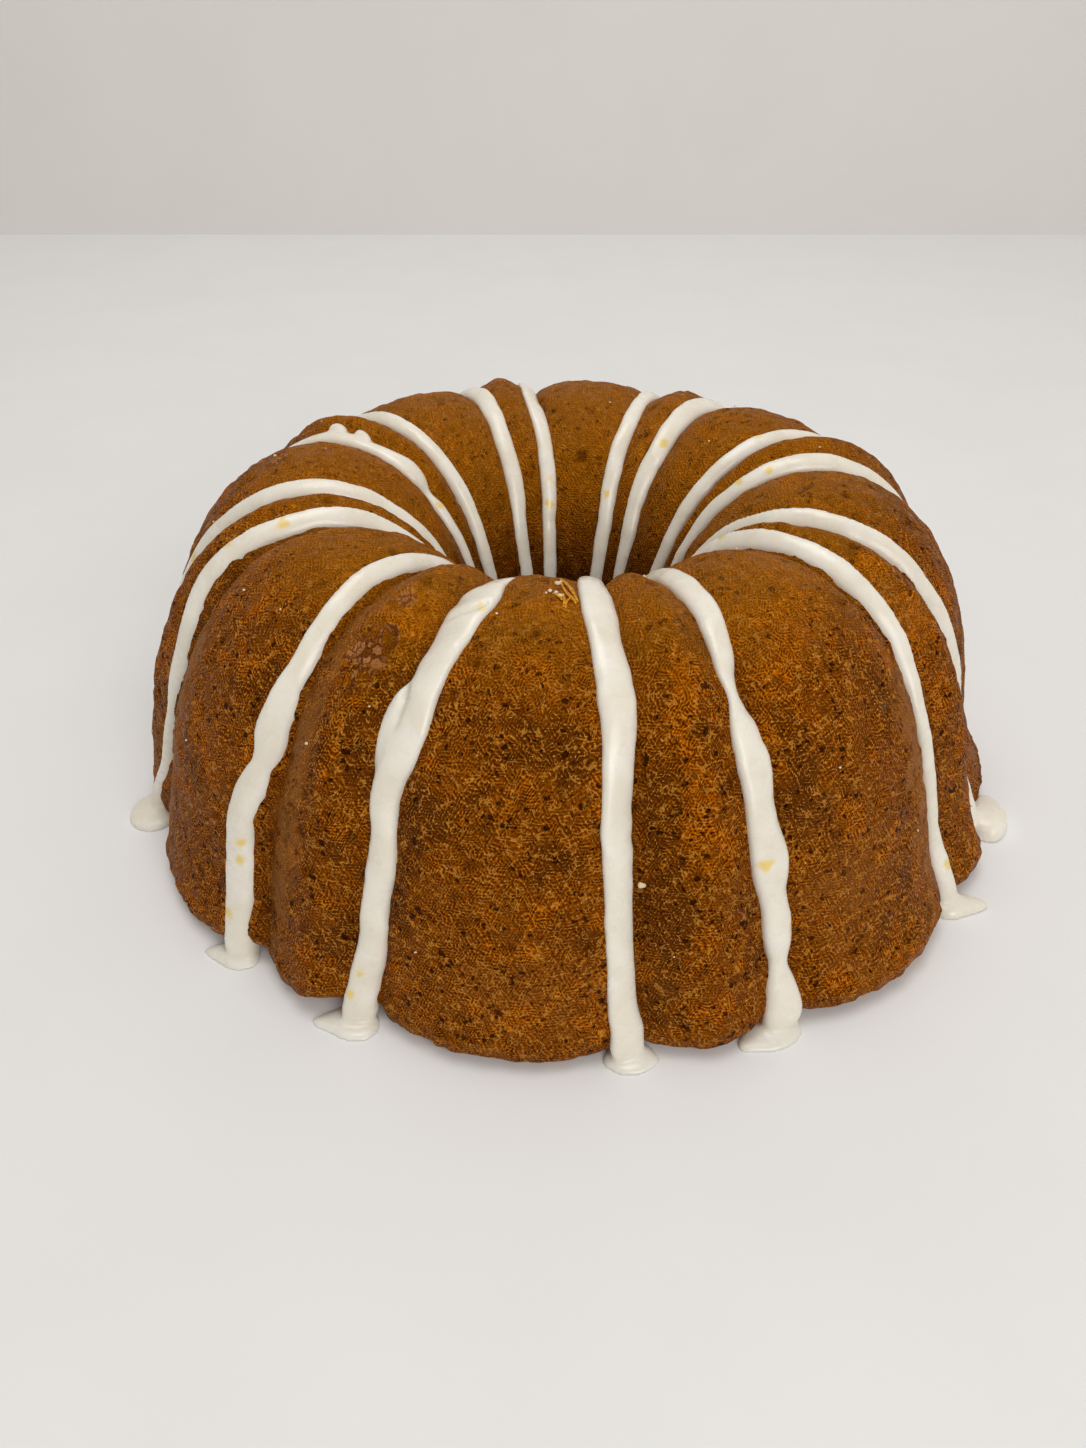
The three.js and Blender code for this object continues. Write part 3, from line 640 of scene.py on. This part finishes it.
def groove_azimuth(index):
    return FIRST_NARROW + PAIR_ANGLE * (index // 2) + (NARROW_HALF if index % 2 else -NARROW_HALF)


def azimuth_beside(index, length, sideways):
    """The azimuth of a point that lies sideways of a groove by some millimetres."""
    return groove_azimuth(index) + np.degrees(sideways / arch_point(length)[..., 0])


def azimuth_on_drip(index, length, side=0.0):
    """The azimuth of a point beside the middle of a drip."""
    sway = DRIPS[index][2]
    return azimuth_beside(index, length, drip_value(sway, length) + side)


def drip_taper(start, end, length, width):
    """How full a drip is: 1 along it, and less at its rounded ends."""
    from_end = np.minimum(end - length, length - start) / (END_ROUNDING * width)
    return np.sqrt(np.maximum(1 - (1 - np.clip(from_end, 0.0, 1)) ** 2, 0.02))


def drip_shell(index):
    """A bead of glaze down a groove: a full crown over two wavy edges, and a root in the cake."""
    start, end, sway, widths, swells, bends = DRIPS[index]
    start, seed = start or FOOT_START, SEEDS["drips"] + 10 * index
    length = np.linspace(start, end, int((end - start) / DRIP_SPACING))
    width = drip_value(widths, length)
    for at, extra, reach in swells:
        width = width + extra * bell(length - at, reach)
    taper = drip_taper(start, end, length, width)
    half = (width / 2 + EDGE_SPREAD) * taper
    left = -half * wavy(length, EDGE_WAVES["left"], seed)
    right = half * wavy(length, EDGE_WAVES["right"], seed)
    crown = np.minimum(CROWN["least"] + CROWN["per_width"] * width, CROWN["most"]) * taper
    for film_drip, at, _, reach, share in FILMS:
        if film_drip == index:
            crown = crown * (1 - share * bell(length - at, reach))
    crown = crown * wavy(length, CROWN_WAVES, seed)
    middle = wavy(length, [WANDER], seed, drip_value(sway, length))
    for at, shift, reach in bends:
        middle = middle + shift * bell(length - at, reach)

    def place(sideways, raised):
        return skin(length, azimuth_beside(index, length, middle + sideways), raised)

    left_edge, right_edge = place(left, -EDGE_DEPTH), place(right, -EDGE_DEPTH)
    up = place(0, 1.0) - place(0, 0.0)
    lean = wavy(length, [LEAN], seed, 0.0)
    sections = []
    for angle in np.linspace(0, math.pi, BEAD_POINTS):
        across = (1 - math.cos(angle)) / 2 + lean * math.sin(angle) ** 2
        chord = left_edge + (right_edge - left_edge) * across[:, None]
        full = math.sin(angle) ** BEAD_FULLNESS
        sections.append(chord + up * ((crown + EDGE_DEPTH) * full)[:, None])
    for share in ROOT_POINTS:
        azimuth = azimuth_beside(index, length, middle + share * half)
        sections.append(skin(length, azimuth, -ROOT_DEPTH, lobes=0.0))
    return ring_shell(np.stack(sections, 1))


def dome_shell(center, along, up, halves, height, depth, fullness, seed, point=(0, 0), sharpness=6):
    """A low dome with a wavy outline, which reaches a depth below it. It is given half its sizes
    along and across, and the direction and length of the point that it is drawn out to."""
    along = along / np.linalg.norm(along)
    up = up / np.linalg.norm(up)
    across = np.cross(up, along)
    turn = np.linspace(0, 2 * math.pi, 40, endpoint=False)
    circle = np.stack([np.cos(turn), np.sin(turn), 0 * turn], -1)
    share, size = DOME_WAVES
    outline = circle[:, :2] * halves * layered(circle, [(share, size, seed)], 1)[:, None]
    direction = math.radians(point[0])
    facing = np.clip(np.cos(turn - direction), 0, 1)
    tail = np.array([math.cos(direction), math.sin(direction)]) * point[1]
    outline = outline + facing[:, None] ** sharpness * tail
    rings = [(reach, height * max(1 - reach ** fullness, 0) ** (1 / fullness)) for reach in DOME_RINGS]
    rings += [(reach, -depth) for reach in DOME_FOOT_RINGS]
    outward = outline[:, :1] * along, outline[:, 1:] * across
    shell = [center + outward[0] * reach + outward[1] * reach + up * rise for reach, rise in rings]
    points, faces = ring_shell(np.array(shell))
    return points, [face[::-1] for face in faces]


def blob_shell(blob, seed):
    index, at, side, half_width, half_length, height, turned = blob
    azimuth = azimuth_on_drip(index, at, side)
    center = skin(at, azimuth)
    up = skin(at, azimuth, 1.0) - center
    along = skin(at + 1.0, azimuth) - center
    turn = math.radians(turned)
    way = along * math.cos(turn) + np.cross(up, along) * math.sin(turn)
    return dome_shell(center, way, up, (half_length, half_width), height, ROOT_DEPTH, BLOB_FULLNESS, seed)


def puddle_shell(puddle, seed):
    azimuth, radius, along, across, height, *point = puddle
    center, tangent = on_ring(radius, azimuth, 0.0), on_ring(1.0, azimuth + 90, 0.0)
    up = np.array([0, 0, 1.0])
    return dome_shell(center, tangent, up, (along, across), height, 0.0, PUDDLE_FULLNESS, seed, point)


def melt_together(obj):
    """Turns overlapping shells into one smooth skin."""
    fuse = obj.modifiers.new("fuse", "REMESH")
    fuse.mode = "VOXEL"
    fuse.voxel_size = GLAZE_VOXEL * MM
    settle = obj.modifiers.new("settle", "SMOOTH")
    settle.factor = 0.5
    settle.iterations = 4
    graph = bpy.context.evaluated_depsgraph_get()
    mesh = bpy.data.meshes.new_from_object(obj.evaluated_get(graph))
    old, obj.data = obj.data, mesh
    obj.modifiers.clear()
    bpy.data.meshes.remove(old)


def read_points(obj, name):
    flat = np.empty(len(obj.data.vertices) * 3, np.float32)
    obj.data.vertices.foreach_get(name, flat)
    return flat.reshape(-1, 3)


def fold_depths(points, samples=40, region=20, fading_from=0.2):
    """How far each point of the glaze sinks into a fold."""
    depth = np.zeros(len(points))
    for index, places, half_width, deepest in FOLDS:
        share = np.linspace(0, 1, samples)
        knots = np.linspace(0, 1, len(places))
        length, side = (np.interp(share, knots, values) for values in np.transpose(places))
        line = skin(length, azimuth_beside(index, length, side), FOLD_LEVEL)
        near = np.where(np.linalg.norm(points - line.mean(axis=0), axis=1) < region)[0]
        distance = np.linalg.norm(points[near][:, None] - line[None], axis=2)
        fading = 1 - smoothstep(share[distance.argmin(axis=1)], fading_from, 1)
        depth[near] = np.maximum(depth[near], deepest * fading * bell(distance.min(axis=1), half_width))
    return depth


def marked(points, spots, level, ends, fades, ragged=1.0):
    """From 0 to 1, how far each point of the glaze lies in a spot, which ends and fades at these
    shares of its radius."""
    mark = np.zeros(len(points))
    for index, at, side, radius, share in spots:
        spot = skin(at, azimuth_on_drip(index, at, side), level)
        distance = np.linalg.norm(points - spot, axis=1) / (radius * ragged)
        mark = np.maximum(mark, share * smoothstep(ends - distance, 0, fades))
    return mark


def make_glaze():
    shells = [drip_shell(index) for index in range(len(DRIPS))]
    shells += [blob_shell(blob, SEEDS["blobs"] + k) for k, blob in enumerate(BLOBS)]
    shells += [puddle_shell(puddle, SEEDS["puddles"] + k) for k, puddle in enumerate(PUDDLES)]
    glaze = make_object("glaze", *join_shells(shells))
    melt_together(glaze)

    points = read_points(glaze, "co").astype(float) / MM
    raised = layered(points, GLAZE_DIMPLES) - fold_depths(points)
    points += read_points(glaze, "normal") * raised[:, None]
    points[:, 2] = np.maximum(points[:, 2], 0)
    glaze.data.vertices.foreach_set("co", (points * MM).astype(np.float32).ravel())
    glaze.data.update()
    glaze.data.shade_smooth()
    stains = [(*stain, 1.0) for stain in ZEST_STAINS]
    ragged = layered(points, STAIN_EDGES, 1)
    set_values(glaze, "zest", marked(points, stains, STAIN_LEVEL, ends=1.3, fades=0.7, ragged=ragged))
    set_values(glaze, "thin", marked(points, FILMS, 0.0, ends=1.2, fades=0.6))
    return glaze


# ---- Crumbs and zest ----
def lump_shell(center, size, seed, squash=0.7):
    """A small broken crumb."""
    ball = bmesh.new()
    bmesh.ops.create_icosphere(ball, subdivisions=2, radius=1.0)
    points = np.array([list(v.co) for v in ball.verts])
    faces = [tuple(v.index for v in face.verts) for face in ball.faces]
    ball.free()
    breaks = [(*layer, seed + k) for k, layer in enumerate(CRUMB_BREAKS)]
    points *= layered(points, breaks, 1)[:, None]
    points[:, 2] *= squash
    return center + points * size / 2, faces


def crumb_places(count=60, lengths=(3, 125), sizes=(0.35, 0.7), widest=0.75):
    """The crumbs at named places, and more, smaller ones scattered over the crust."""
    generator = np.random.default_rng(SEEDS["scatter"])
    places = list(PALE_CRUMBS)
    while len(places) < count:
        azimuth = generator.uniform(-180, 180)
        length = generator.uniform(*lengths)
        _, across = across_lobe(np.array(azimuth))
        if abs(float(across)) < widest:
            places.append((length, azimuth, generator.uniform(*sizes)))
    return places


def make_crumbs(level=0.3):
    shells = []
    for k, (length, azimuth, size) in enumerate(crumb_places()):
        shells.append(lump_shell(skin(length, azimuth, level), size, SEEDS["crumbs"] + 2 * k))
    return make_object("crumbs", *join_shells(shells))


def shred_shell(shred, seed, level=0.35, points=15, sides=8, wide=1.4, tall=0.7):
    """A curved, flat shred that lies on the crust."""
    length, azimuth, size, turned, thickness, bent = shred
    t = np.linspace(-1, 1, points)
    turn = math.radians(turned)
    bend = bent * size * (1 - t ** 2)
    ahead = t * size / 2 * math.cos(turn) - bend * math.sin(turn)
    aside = t * size / 2 * math.sin(turn) + bend * math.cos(turn)
    azimuths = azimuth + np.degrees(aside / arch_point(length)[0])
    middle = skin(length + ahead, azimuths, level)
    out = skin(length + ahead, azimuths, 1.0) - skin(length + ahead, azimuths, 0.0)
    along = np.gradient(middle, axis=0)
    along /= np.linalg.norm(along, axis=1, keepdims=True)
    side = np.cross(along, out)
    thick = thickness * np.sqrt(np.maximum(1 - t ** 4, 0.01)) * wavy(t * size, SHRED_WAVES, seed)
    rings = []
    for angle in np.linspace(0, 2 * math.pi, sides, endpoint=False):
        aside, above = wide * thick * math.cos(angle), tall * thick * math.sin(angle)
        rings.append(middle + side * aside[:, None] + out * above[:, None])
    return ring_shell(np.stack(rings, 1))


def make_zest():
    shells = [shred_shell(shred, SEEDS["shreds"] + k) for k, shred in enumerate(ZEST_SHREDS)]
    return make_object("zest_shreds", *join_shells(shells))


# ---- Materials ----
GOLDEN = (1 + math.sqrt(5)) / 2
ICOSAHEDRON_AXES = [
    (0, 1, GOLDEN), (0, -1, GOLDEN), (1, GOLDEN, 0), (-1, GOLDEN, 0), (GOLDEN, 0, 1), (GOLDEN, 0, -1)]
RIPPLE_PERIODS = [1.0, 0.87, 1.12, 0.94, 1.2, 0.8]  # one for each axis, as shares of the period
MIX_SHARE, MIX_A, MIX_B, MIX_COLOUR = 0, 6, 7, 2  # the sockets of a Mix node that mixes colours
EVEN = (0.35, 0.65)  # the middle of a noise, where it passes from one side to the other


class Shader:
    """A material built up node by node, in millimetres of the object's own space."""

    def __init__(self, name):
        self.material = bpy.data.materials.new(name)
        self.material.use_nodes = True
        self.tree = self.material.node_tree
        self.tree.nodes.clear()
        self.mm = self.vector_math("SCALE", self.node("TexCoord").outputs["Object"], Scale=1 / MM)

    def node(self, kind, inputs=(), **settings):
        """A node whose inputs are linked to other nodes' outputs or set to values."""
        made = self.tree.nodes.new("ShaderNode" + kind)
        for key, value in settings.items():
            setattr(made, key, value)
        for key, value in dict(inputs).items():
            if isinstance(value, bpy.types.NodeSocket):
                self.tree.links.new(value, made.inputs[key])
            else:
                made.inputs[key].default_value = value
        return made

    def vector_math(self, operation, *values, **inputs):
        inputs.update(enumerate(values))
        return self.node("VectorMath", inputs, operation=operation).outputs[0]

    def dot(self, vector, by):
        inputs = {0: vector, 1: tuple(float(b) for b in by)}
        return self.node("VectorMath", inputs, operation="DOT_PRODUCT").outputs["Value"]

    def math(self, operation, *values):
        return self.node("Math", dict(enumerate(values)), operation=operation).outputs[0]

    def times(self, a, b):
        return self.math("MULTIPLY", a, b)

    def noise(self, size, detail=2.0, roughness=0.5, output="Fac"):
        inputs = {"Vector": self.mm, "Scale": 1 / size, "Detail": detail, "Roughness": roughness}
        return self.node("TexNoise", inputs).outputs[output]

    def centred_noise(self, size):
        """A noise vector that points every way."""
        return self.vector_math("SUBTRACT", self.noise(size, 0.0, output="Color"), (0.5, 0.5, 0.5))

    def cells(self, at, size, feature="F1", output="Distance"):
        return self.node("TexVoronoi", {"Vector": at, "Scale": 1 / size}, feature=feature).outputs[output]

    def ripples(self, period, drift, reach, turning):
        """Short curly ridges that run every way: plane waves with drifting phases, of which those
        that face a direction that turns from place to place are the strongest."""
        drifting = self.noise(drift, 0.0, output="Color")
        facing = self.vector_math("NORMALIZE", self.centred_noise(turning))
        total = 0.0
        for k, axis in enumerate(ICOSAHEDRON_AXES):
            axis = np.array(axis) / np.linalg.norm(axis)
            wave = axis * 2 * math.pi / (period * RIPPLE_PERIODS[k])
            other = np.roll(axis, 1 + k % 2) * reach * (-1) ** k
            phase = self.math("ADD", self.dot(self.mm, wave), self.dot(drifting, other))
            share = self.math("POWER", self.math("ABSOLUTE", self.dot(facing, axis)), 2.0)
            total = self.math("MULTIPLY_ADD", self.math("SINE", phase), share, total)
        return total

    def spread(self, value, low, high, to_low=0.0, to_high=1.0, smooth=True):
        """A value that goes from one number to another over a range."""
        inputs = {"Value": value, "From Min": low, "From Max": high, "To Min": to_low, "To Max": to_high}
        kind = "SMOOTHSTEP" if smooth else "LINEAR"
        return self.node("MapRange", inputs, interpolation_type=kind).outputs[0]

    def faded(self, value, mask, kept):
        """A value of which only a share is kept where the mask is 1."""
        return self.times(value, self.spread(mask, 0.0, 1.0, 1.0, kept))

    def mix(self, mask, a, b):
        inputs = {MIX_SHARE: mask, MIX_A: a, MIX_B: b}
        return self.node("Mix", inputs, data_type="RGBA").outputs[MIX_COLOUR]

    def tint(self, base, mask, share, colour):
        """Mixes a share of a colour into the base where the mask is 1."""
        return self.mix(self.times(mask, share), base, colour)

    def stored(self, name):
        return self.node("Attribute", attribute_name=name).outputs["Fac"]

    def bump(self, height, distance, strength=1.0):
        inputs = {"Height": height, "Distance": distance * MM, "Strength": strength}
        return self.node("Bump", inputs).outputs["Normal"]

    def finish(self, inputs):
        """Ends the material in a principled shader with these inputs."""
        shader = self.node("BsdfPrincipled", inputs)
        self.node("OutputMaterial", {"Surface": shader.outputs["BSDF"]})
        return self.material


def srgb(red, green, blue, shade=1.0):
    """A colour of the picture, as the light that a surface sends back."""
    share = [c / 255 for c in (red, green, blue)]
    light = [c / 12.92 if c <= 0.04045 else ((c + 0.055) / 1.055) ** 2.4 for c in share]
    return (*(c * shade for c in light), 1.0)


def hole_marks(s, at, patch, within, radius, spacing):
    """Above 0 in round holes, whose radius grows from patch to patch of a noise."""
    size = s.spread(s.noise(patch, 0.0), *within, *radius, smooth=False)
    return s.math("SUBTRACT", size, s.cells(at, spacing))


def soft_patches(s, name, pull, size, roughness, within):
    """Large soft patches, of which there are more in the places stored under a name."""
    pattern = s.math("MULTIPLY_ADD", s.stored(name), pull, s.noise(size, 2.0, roughness))
    return s.spread(pattern, *within)


def crust_material():
    s = Shader("baked_crust")
    ridge, torn, pit, place, smooth_and_painted_light = (s.stored(name) for name in ("ridge", "torn", "pit", "place", "smooth_and_painted_light"))

    # strands of crumb a third of a millimetre wide, painted glints of highlight on them, and a few longer
    # curls of painted highlight that stand out
    waves = s.ripples(period=0.68, drift=2.0, reach=8.0, turning=2.2)
    gap = s.spread(waves, -1.1, 0.1, 1.0, 0.0)
    strand = s.spread(waves, 0.2, 1.1)
    # painted highlight: glints on the tops of the strands
    painted_glint_highlight = s.spread(waves, 1.2, 1.8)
    line = s.math("ABSOLUTE", s.math("SUBTRACT", s.noise(1.9, 1.0), 0.5))
    broken = s.spread(s.noise(2.3, 0.0), 0.45, 0.56)
    painted_curl_highlight = s.times(s.spread(line, 0.012, 0.042, 1.0, 0.0), broken)

    # pores between them, and small specks, all with ragged edges
    bent = s.vector_math("ADD", s.mm, s.vector_math("SCALE", s.centred_noise(1.1), Scale=1.3))
    pores = hole_marks(s, bent, patch=3.4, within=(0.34, 0.7), radius=(0.04, 0.36), spacing=2.0)
    specks = hole_marks(s, bent, patch=2.6, within=(0.4, 0.75), radius=(0.0, 0.36), spacing=1.05)
    pores = s.spread(pores, -0.04, 0.14)
    strand_height = s.spread(smooth_and_painted_light, 0.0, 1.0, 0.16, 0.06)
    height = s.math("MULTIPLY_ADD", waves, strand_height, s.times(pores, -0.5))
    pores = s.math("MAXIMUM", pores, s.spread(specks, -0.06, 0.12, 0.0, 0.8))

    # where the crust is golden, or dull with painted shade on some lobe faces; the crown is lighter, and
    # smoother than the walls
    golden = soft_patches(s, "golden", pull=0.22, size=10, roughness=0.6, within=(0.52, 0.66))
    dull_and_painted_shade = soft_patches(s, "dark_and_painted_shade", pull=0.2, size=15, roughness=0.55, within=(0.52, 0.68))
    crown = s.times(s.spread(place, 0.36, 0.5), s.spread(place, 0.66, 0.8, 1.0, 0.0))
    open_crumb = s.spread(crown, 0.0, 1.0, 1.0, 0.5, smooth=False)
    faint = s.times(open_crumb, s.spread(s.noise(5, 1.0), 0.35, 0.58, 0.6, 1.0))
    faint = s.faded(s.faded(faint, dull_and_painted_shade, kept=0.7), smooth_and_painted_light, kept=0.35)
    open_crumb = s.faded(open_crumb, smooth_and_painted_light, kept=0.45)

    base = s.mix(golden, srgb(135, 69, 0), srgb(164, 81, 0))
    # dull patches, partly painted shade on one face of some lobes and beside grooves
    base = s.tint(base, dull_and_painted_shade, 0.85, srgb(96, 47, 4))
    base = s.tint(base, crown, 0.7, srgb(170, 102, 6))
    # smooth faces painted a lighter tan: painted light on one face of these lobes
    base = s.tint(base, smooth_and_painted_light, 0.85, srgb(140, 87, 34))
    hollow = s.mix(dull_and_painted_shade, srgb(80, 30, 0), srgb(60, 22, 0))
    bright = s.mix(golden, srgb(186, 113, 26), srgb(218, 134, 8))
    base = s.tint(base, gap, s.times(faint, 0.9), hollow)
    base = s.tint(base, strand, s.times(faint, 0.65), bright)
    # the curls are a painted highlight on the lit rims of the crumb
    base = s.tint(base, painted_curl_highlight, s.times(open_crumb, 0.7), srgb(206, 138, 50))
    # painted glints of highlight on the strands
    base = s.tint(base, painted_glint_highlight, s.times(open_crumb, 0.8), srgb(224, 162, 76))
    base = s.tint(base, pores, s.times(open_crumb, 0.95), srgb(44, 14, 0))
    # painted shade darkens the grooves between the lobes
    groove = s.spread(ridge, 0.0, 0.6, 0.3, 0.0)
    base = s.mix(groove, base, srgb(66, 28, 1))

    # flakes with cracks between them where it is torn, and painted shade in the pits
    flake = s.cells(bent, 2.2, output="Color")
    flake_colour = s.mix(s.spread(flake, *EVEN), srgb(112, 54, 12), srgb(176, 116, 66))
    cracks = s.spread(s.cells(bent, 2.2, feature="DISTANCE_TO_EDGE"), 0.02, 0.16, 0.9, 0.0)
    flake_colour = s.mix(cracks, flake_colour, srgb(86, 36, 3))
    flaked = s.times(s.spread(torn, 0.45, 0.8), s.spread(flake, 0.3, 0.42, 0.3, 1.0))
    base = s.tint(base, s.spread(torn, 0.1, 0.5), 0.12, bright)
    base = s.tint(base, flaked, 0.95, flake_colour)
    base = s.tint(base, pit, 0.6, srgb(48, 18, 0))

    # painted shade darkens the hole, and the flat underside has no crust
    base = s.mix(s.spread(place, 0.6, 0.86, 0.0, 0.86), base, srgb(58, 24, 1))
    batter = s.mix(s.spread(s.noise(16, 5.0, 0.62), 0.3, 0.7), srgb(152, 94, 36), srgb(190, 132, 66))
    batter = s.tint(batter, pores, 0.6, srgb(104, 56, 14))
    base = s.mix(s.spread(place, -0.06, -0.02, 1.0, 0.0), base, batter)

    gloss = s.spread(s.noise(5, 1.0), 0.35, 0.7, 0.42, 0.6)
    return s.finish({
        "Base Color": base, "Roughness": s.math("MULTIPLY_ADD", flaked, -0.12, gloss),
        "Normal": s.bump(height, distance=1.0),
        "Specular IOR Level": 0.07, "Specular Tint": (1.0, 0.55, 0.16, 1.0),
    })


def glaze_material():
    s = Shader("white_glaze")
    base = s.mix(s.spread(s.noise(9), *EVEN), srgb(241, 235, 223), srgb(233, 226, 210))
    base = s.mix(s.spread(s.noise(5), 0.58, 0.75, 0.0, 0.15), base, srgb(220, 212, 196))
    base = s.tint(base, s.stored("thin"), 0.6, srgb(192, 172, 142))
    base = s.tint(base, s.stored("zest"), 0.8, srgb(236, 204, 88))
    height = s.math("MULTIPLY_ADD", s.noise(0.5), 0.25, s.noise(1.6))
    return s.finish({
        "Base Color": base, "Roughness": s.spread(s.noise(4), *EVEN, 0.22, 0.4),
        "Normal": s.bump(height, distance=0.12, strength=0.6), "Specular IOR Level": 0.5,
        "Subsurface Weight": 0.35, "Subsurface Radius": (1.0, 0.75, 0.45), "Subsurface Scale": 0.003,
        "Coat Weight": 0.25, "Coat Roughness": 0.15,
    })


def crumb_material():
    s = Shader("pale_crumb")
    return s.finish({
        "Base Color": s.mix(s.noise(0.8), srgb(214, 176, 118), srgb(242, 230, 204)),
        "Roughness": 0.6, "Normal": s.bump(s.noise(0.3), distance=0.08),
    })


def zest_material():
    s = Shader("zest")
    return s.finish({
        "Base Color": s.mix(s.spread(s.noise(0.9), *EVEN), srgb(214, 152, 22), srgb(190, 112, 4)),
        "Roughness": 0.45, "Normal": s.bump(s.noise(0.35), distance=0.08),
        "Specular IOR Level": 0.3, "Specular Tint": (1.0, 0.75, 0.3, 1.0),
    })


def stage_material(name, picture, grain):
    s = Shader(name)
    varied = s.mix(s.spread(s.noise(grain, 3.0), *EVEN), srgb(*picture), srgb(*picture, shade=0.985))
    return s.finish({"Base Color": varied, "Roughness": 0.55, "Specular IOR Level": 0.3})


# ---- The stage, in metres ----
def plane(name, corners, material):
    made = make_object(name, np.array(corners) / MM, [(0, 1, 2, 3)], smooth=False)
    made.data.materials.append(material)
    return made


def area_light(name, place, target, size, power, colour):
    data = bpy.data.lights.new(name, "AREA")
    data.shape = "DISK"
    data.size = size
    data.energy = power
    data.color = colour
    lamp = bpy.data.objects.new(name, data)
    lamp.location = place
    x, y, z = np.array(target) - np.array(place)
    lamp.rotation_euler = (math.pi / 2 + math.atan2(z, math.hypot(x, y)), 0, math.atan2(-x, y))
    bpy.context.scene.collection.objects.link(lamp)


def make_stage():
    left, right, near, far, top = -3, 3, -3, 0.68, 2.5
    floor = plane("floor", [(left, near, 0), (right, near, 0), (right, far, 0), (left, far, 0)],
                  stage_material("pale_floor", (239, 239, 239), grain=60))
    wall = plane("backdrop", [(left, far, 0), (right, far, 0), (right, far, top), (left, far, top)],
                 stage_material("pale_wall", (231, 228, 224), grain=90))

    world = bpy.data.worlds.new("soft_room")
    world.use_nodes = True
    background = world.node_tree.nodes["Background"]
    background.inputs["Color"].default_value = (1.0, 0.985, 0.96, 1)
    background.inputs["Strength"].default_value = 0.397
    bpy.context.scene.world = world
    area_light("overhead", place=(-0.05, 0.1, 1.3), target=(0, 0, 0), size=0.8, power=5.5,
               colour=(1.0, 0.98, 0.95))
    area_light("front_fill", place=(0.5, -1.15, 0.75), target=(0, 0, 0.04), size=0.9, power=7.6,
               colour=(1.0, 0.975, 0.94))


def make_camera():
    data = bpy.data.cameras.new("camera")
    data.sensor_width = 36
    data.lens = 27.35
    data.clip_start = 0.01
    camera = bpy.data.objects.new("camera", data)
    camera.location = (-0.0065, -0.2728, 0.2020)
    camera.rotation_euler = (math.radians(54.05), 0, 0)
    bpy.context.scene.collection.objects.link(camera)
    bpy.context.scene.camera = camera


# ---- The scene ----
cake = make_cake()
cake.data.materials.append(crust_material())
glaze = make_glaze()
glaze.data.materials.append(glaze_material())
crumbs = make_crumbs()
crumbs.data.materials.append(crumb_material())
zest = make_zest()
zest.data.materials.append(zest_material())

for piece, finish in ((cake, "crust"), (glaze, "glaze"), (crumbs, "crust"), (zest, "glaze")):
    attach(piece, "root")
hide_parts("bundt_cake")

make_stage()
make_camera()
bpy.context.scene.view_settings.view_transform = "Standard"
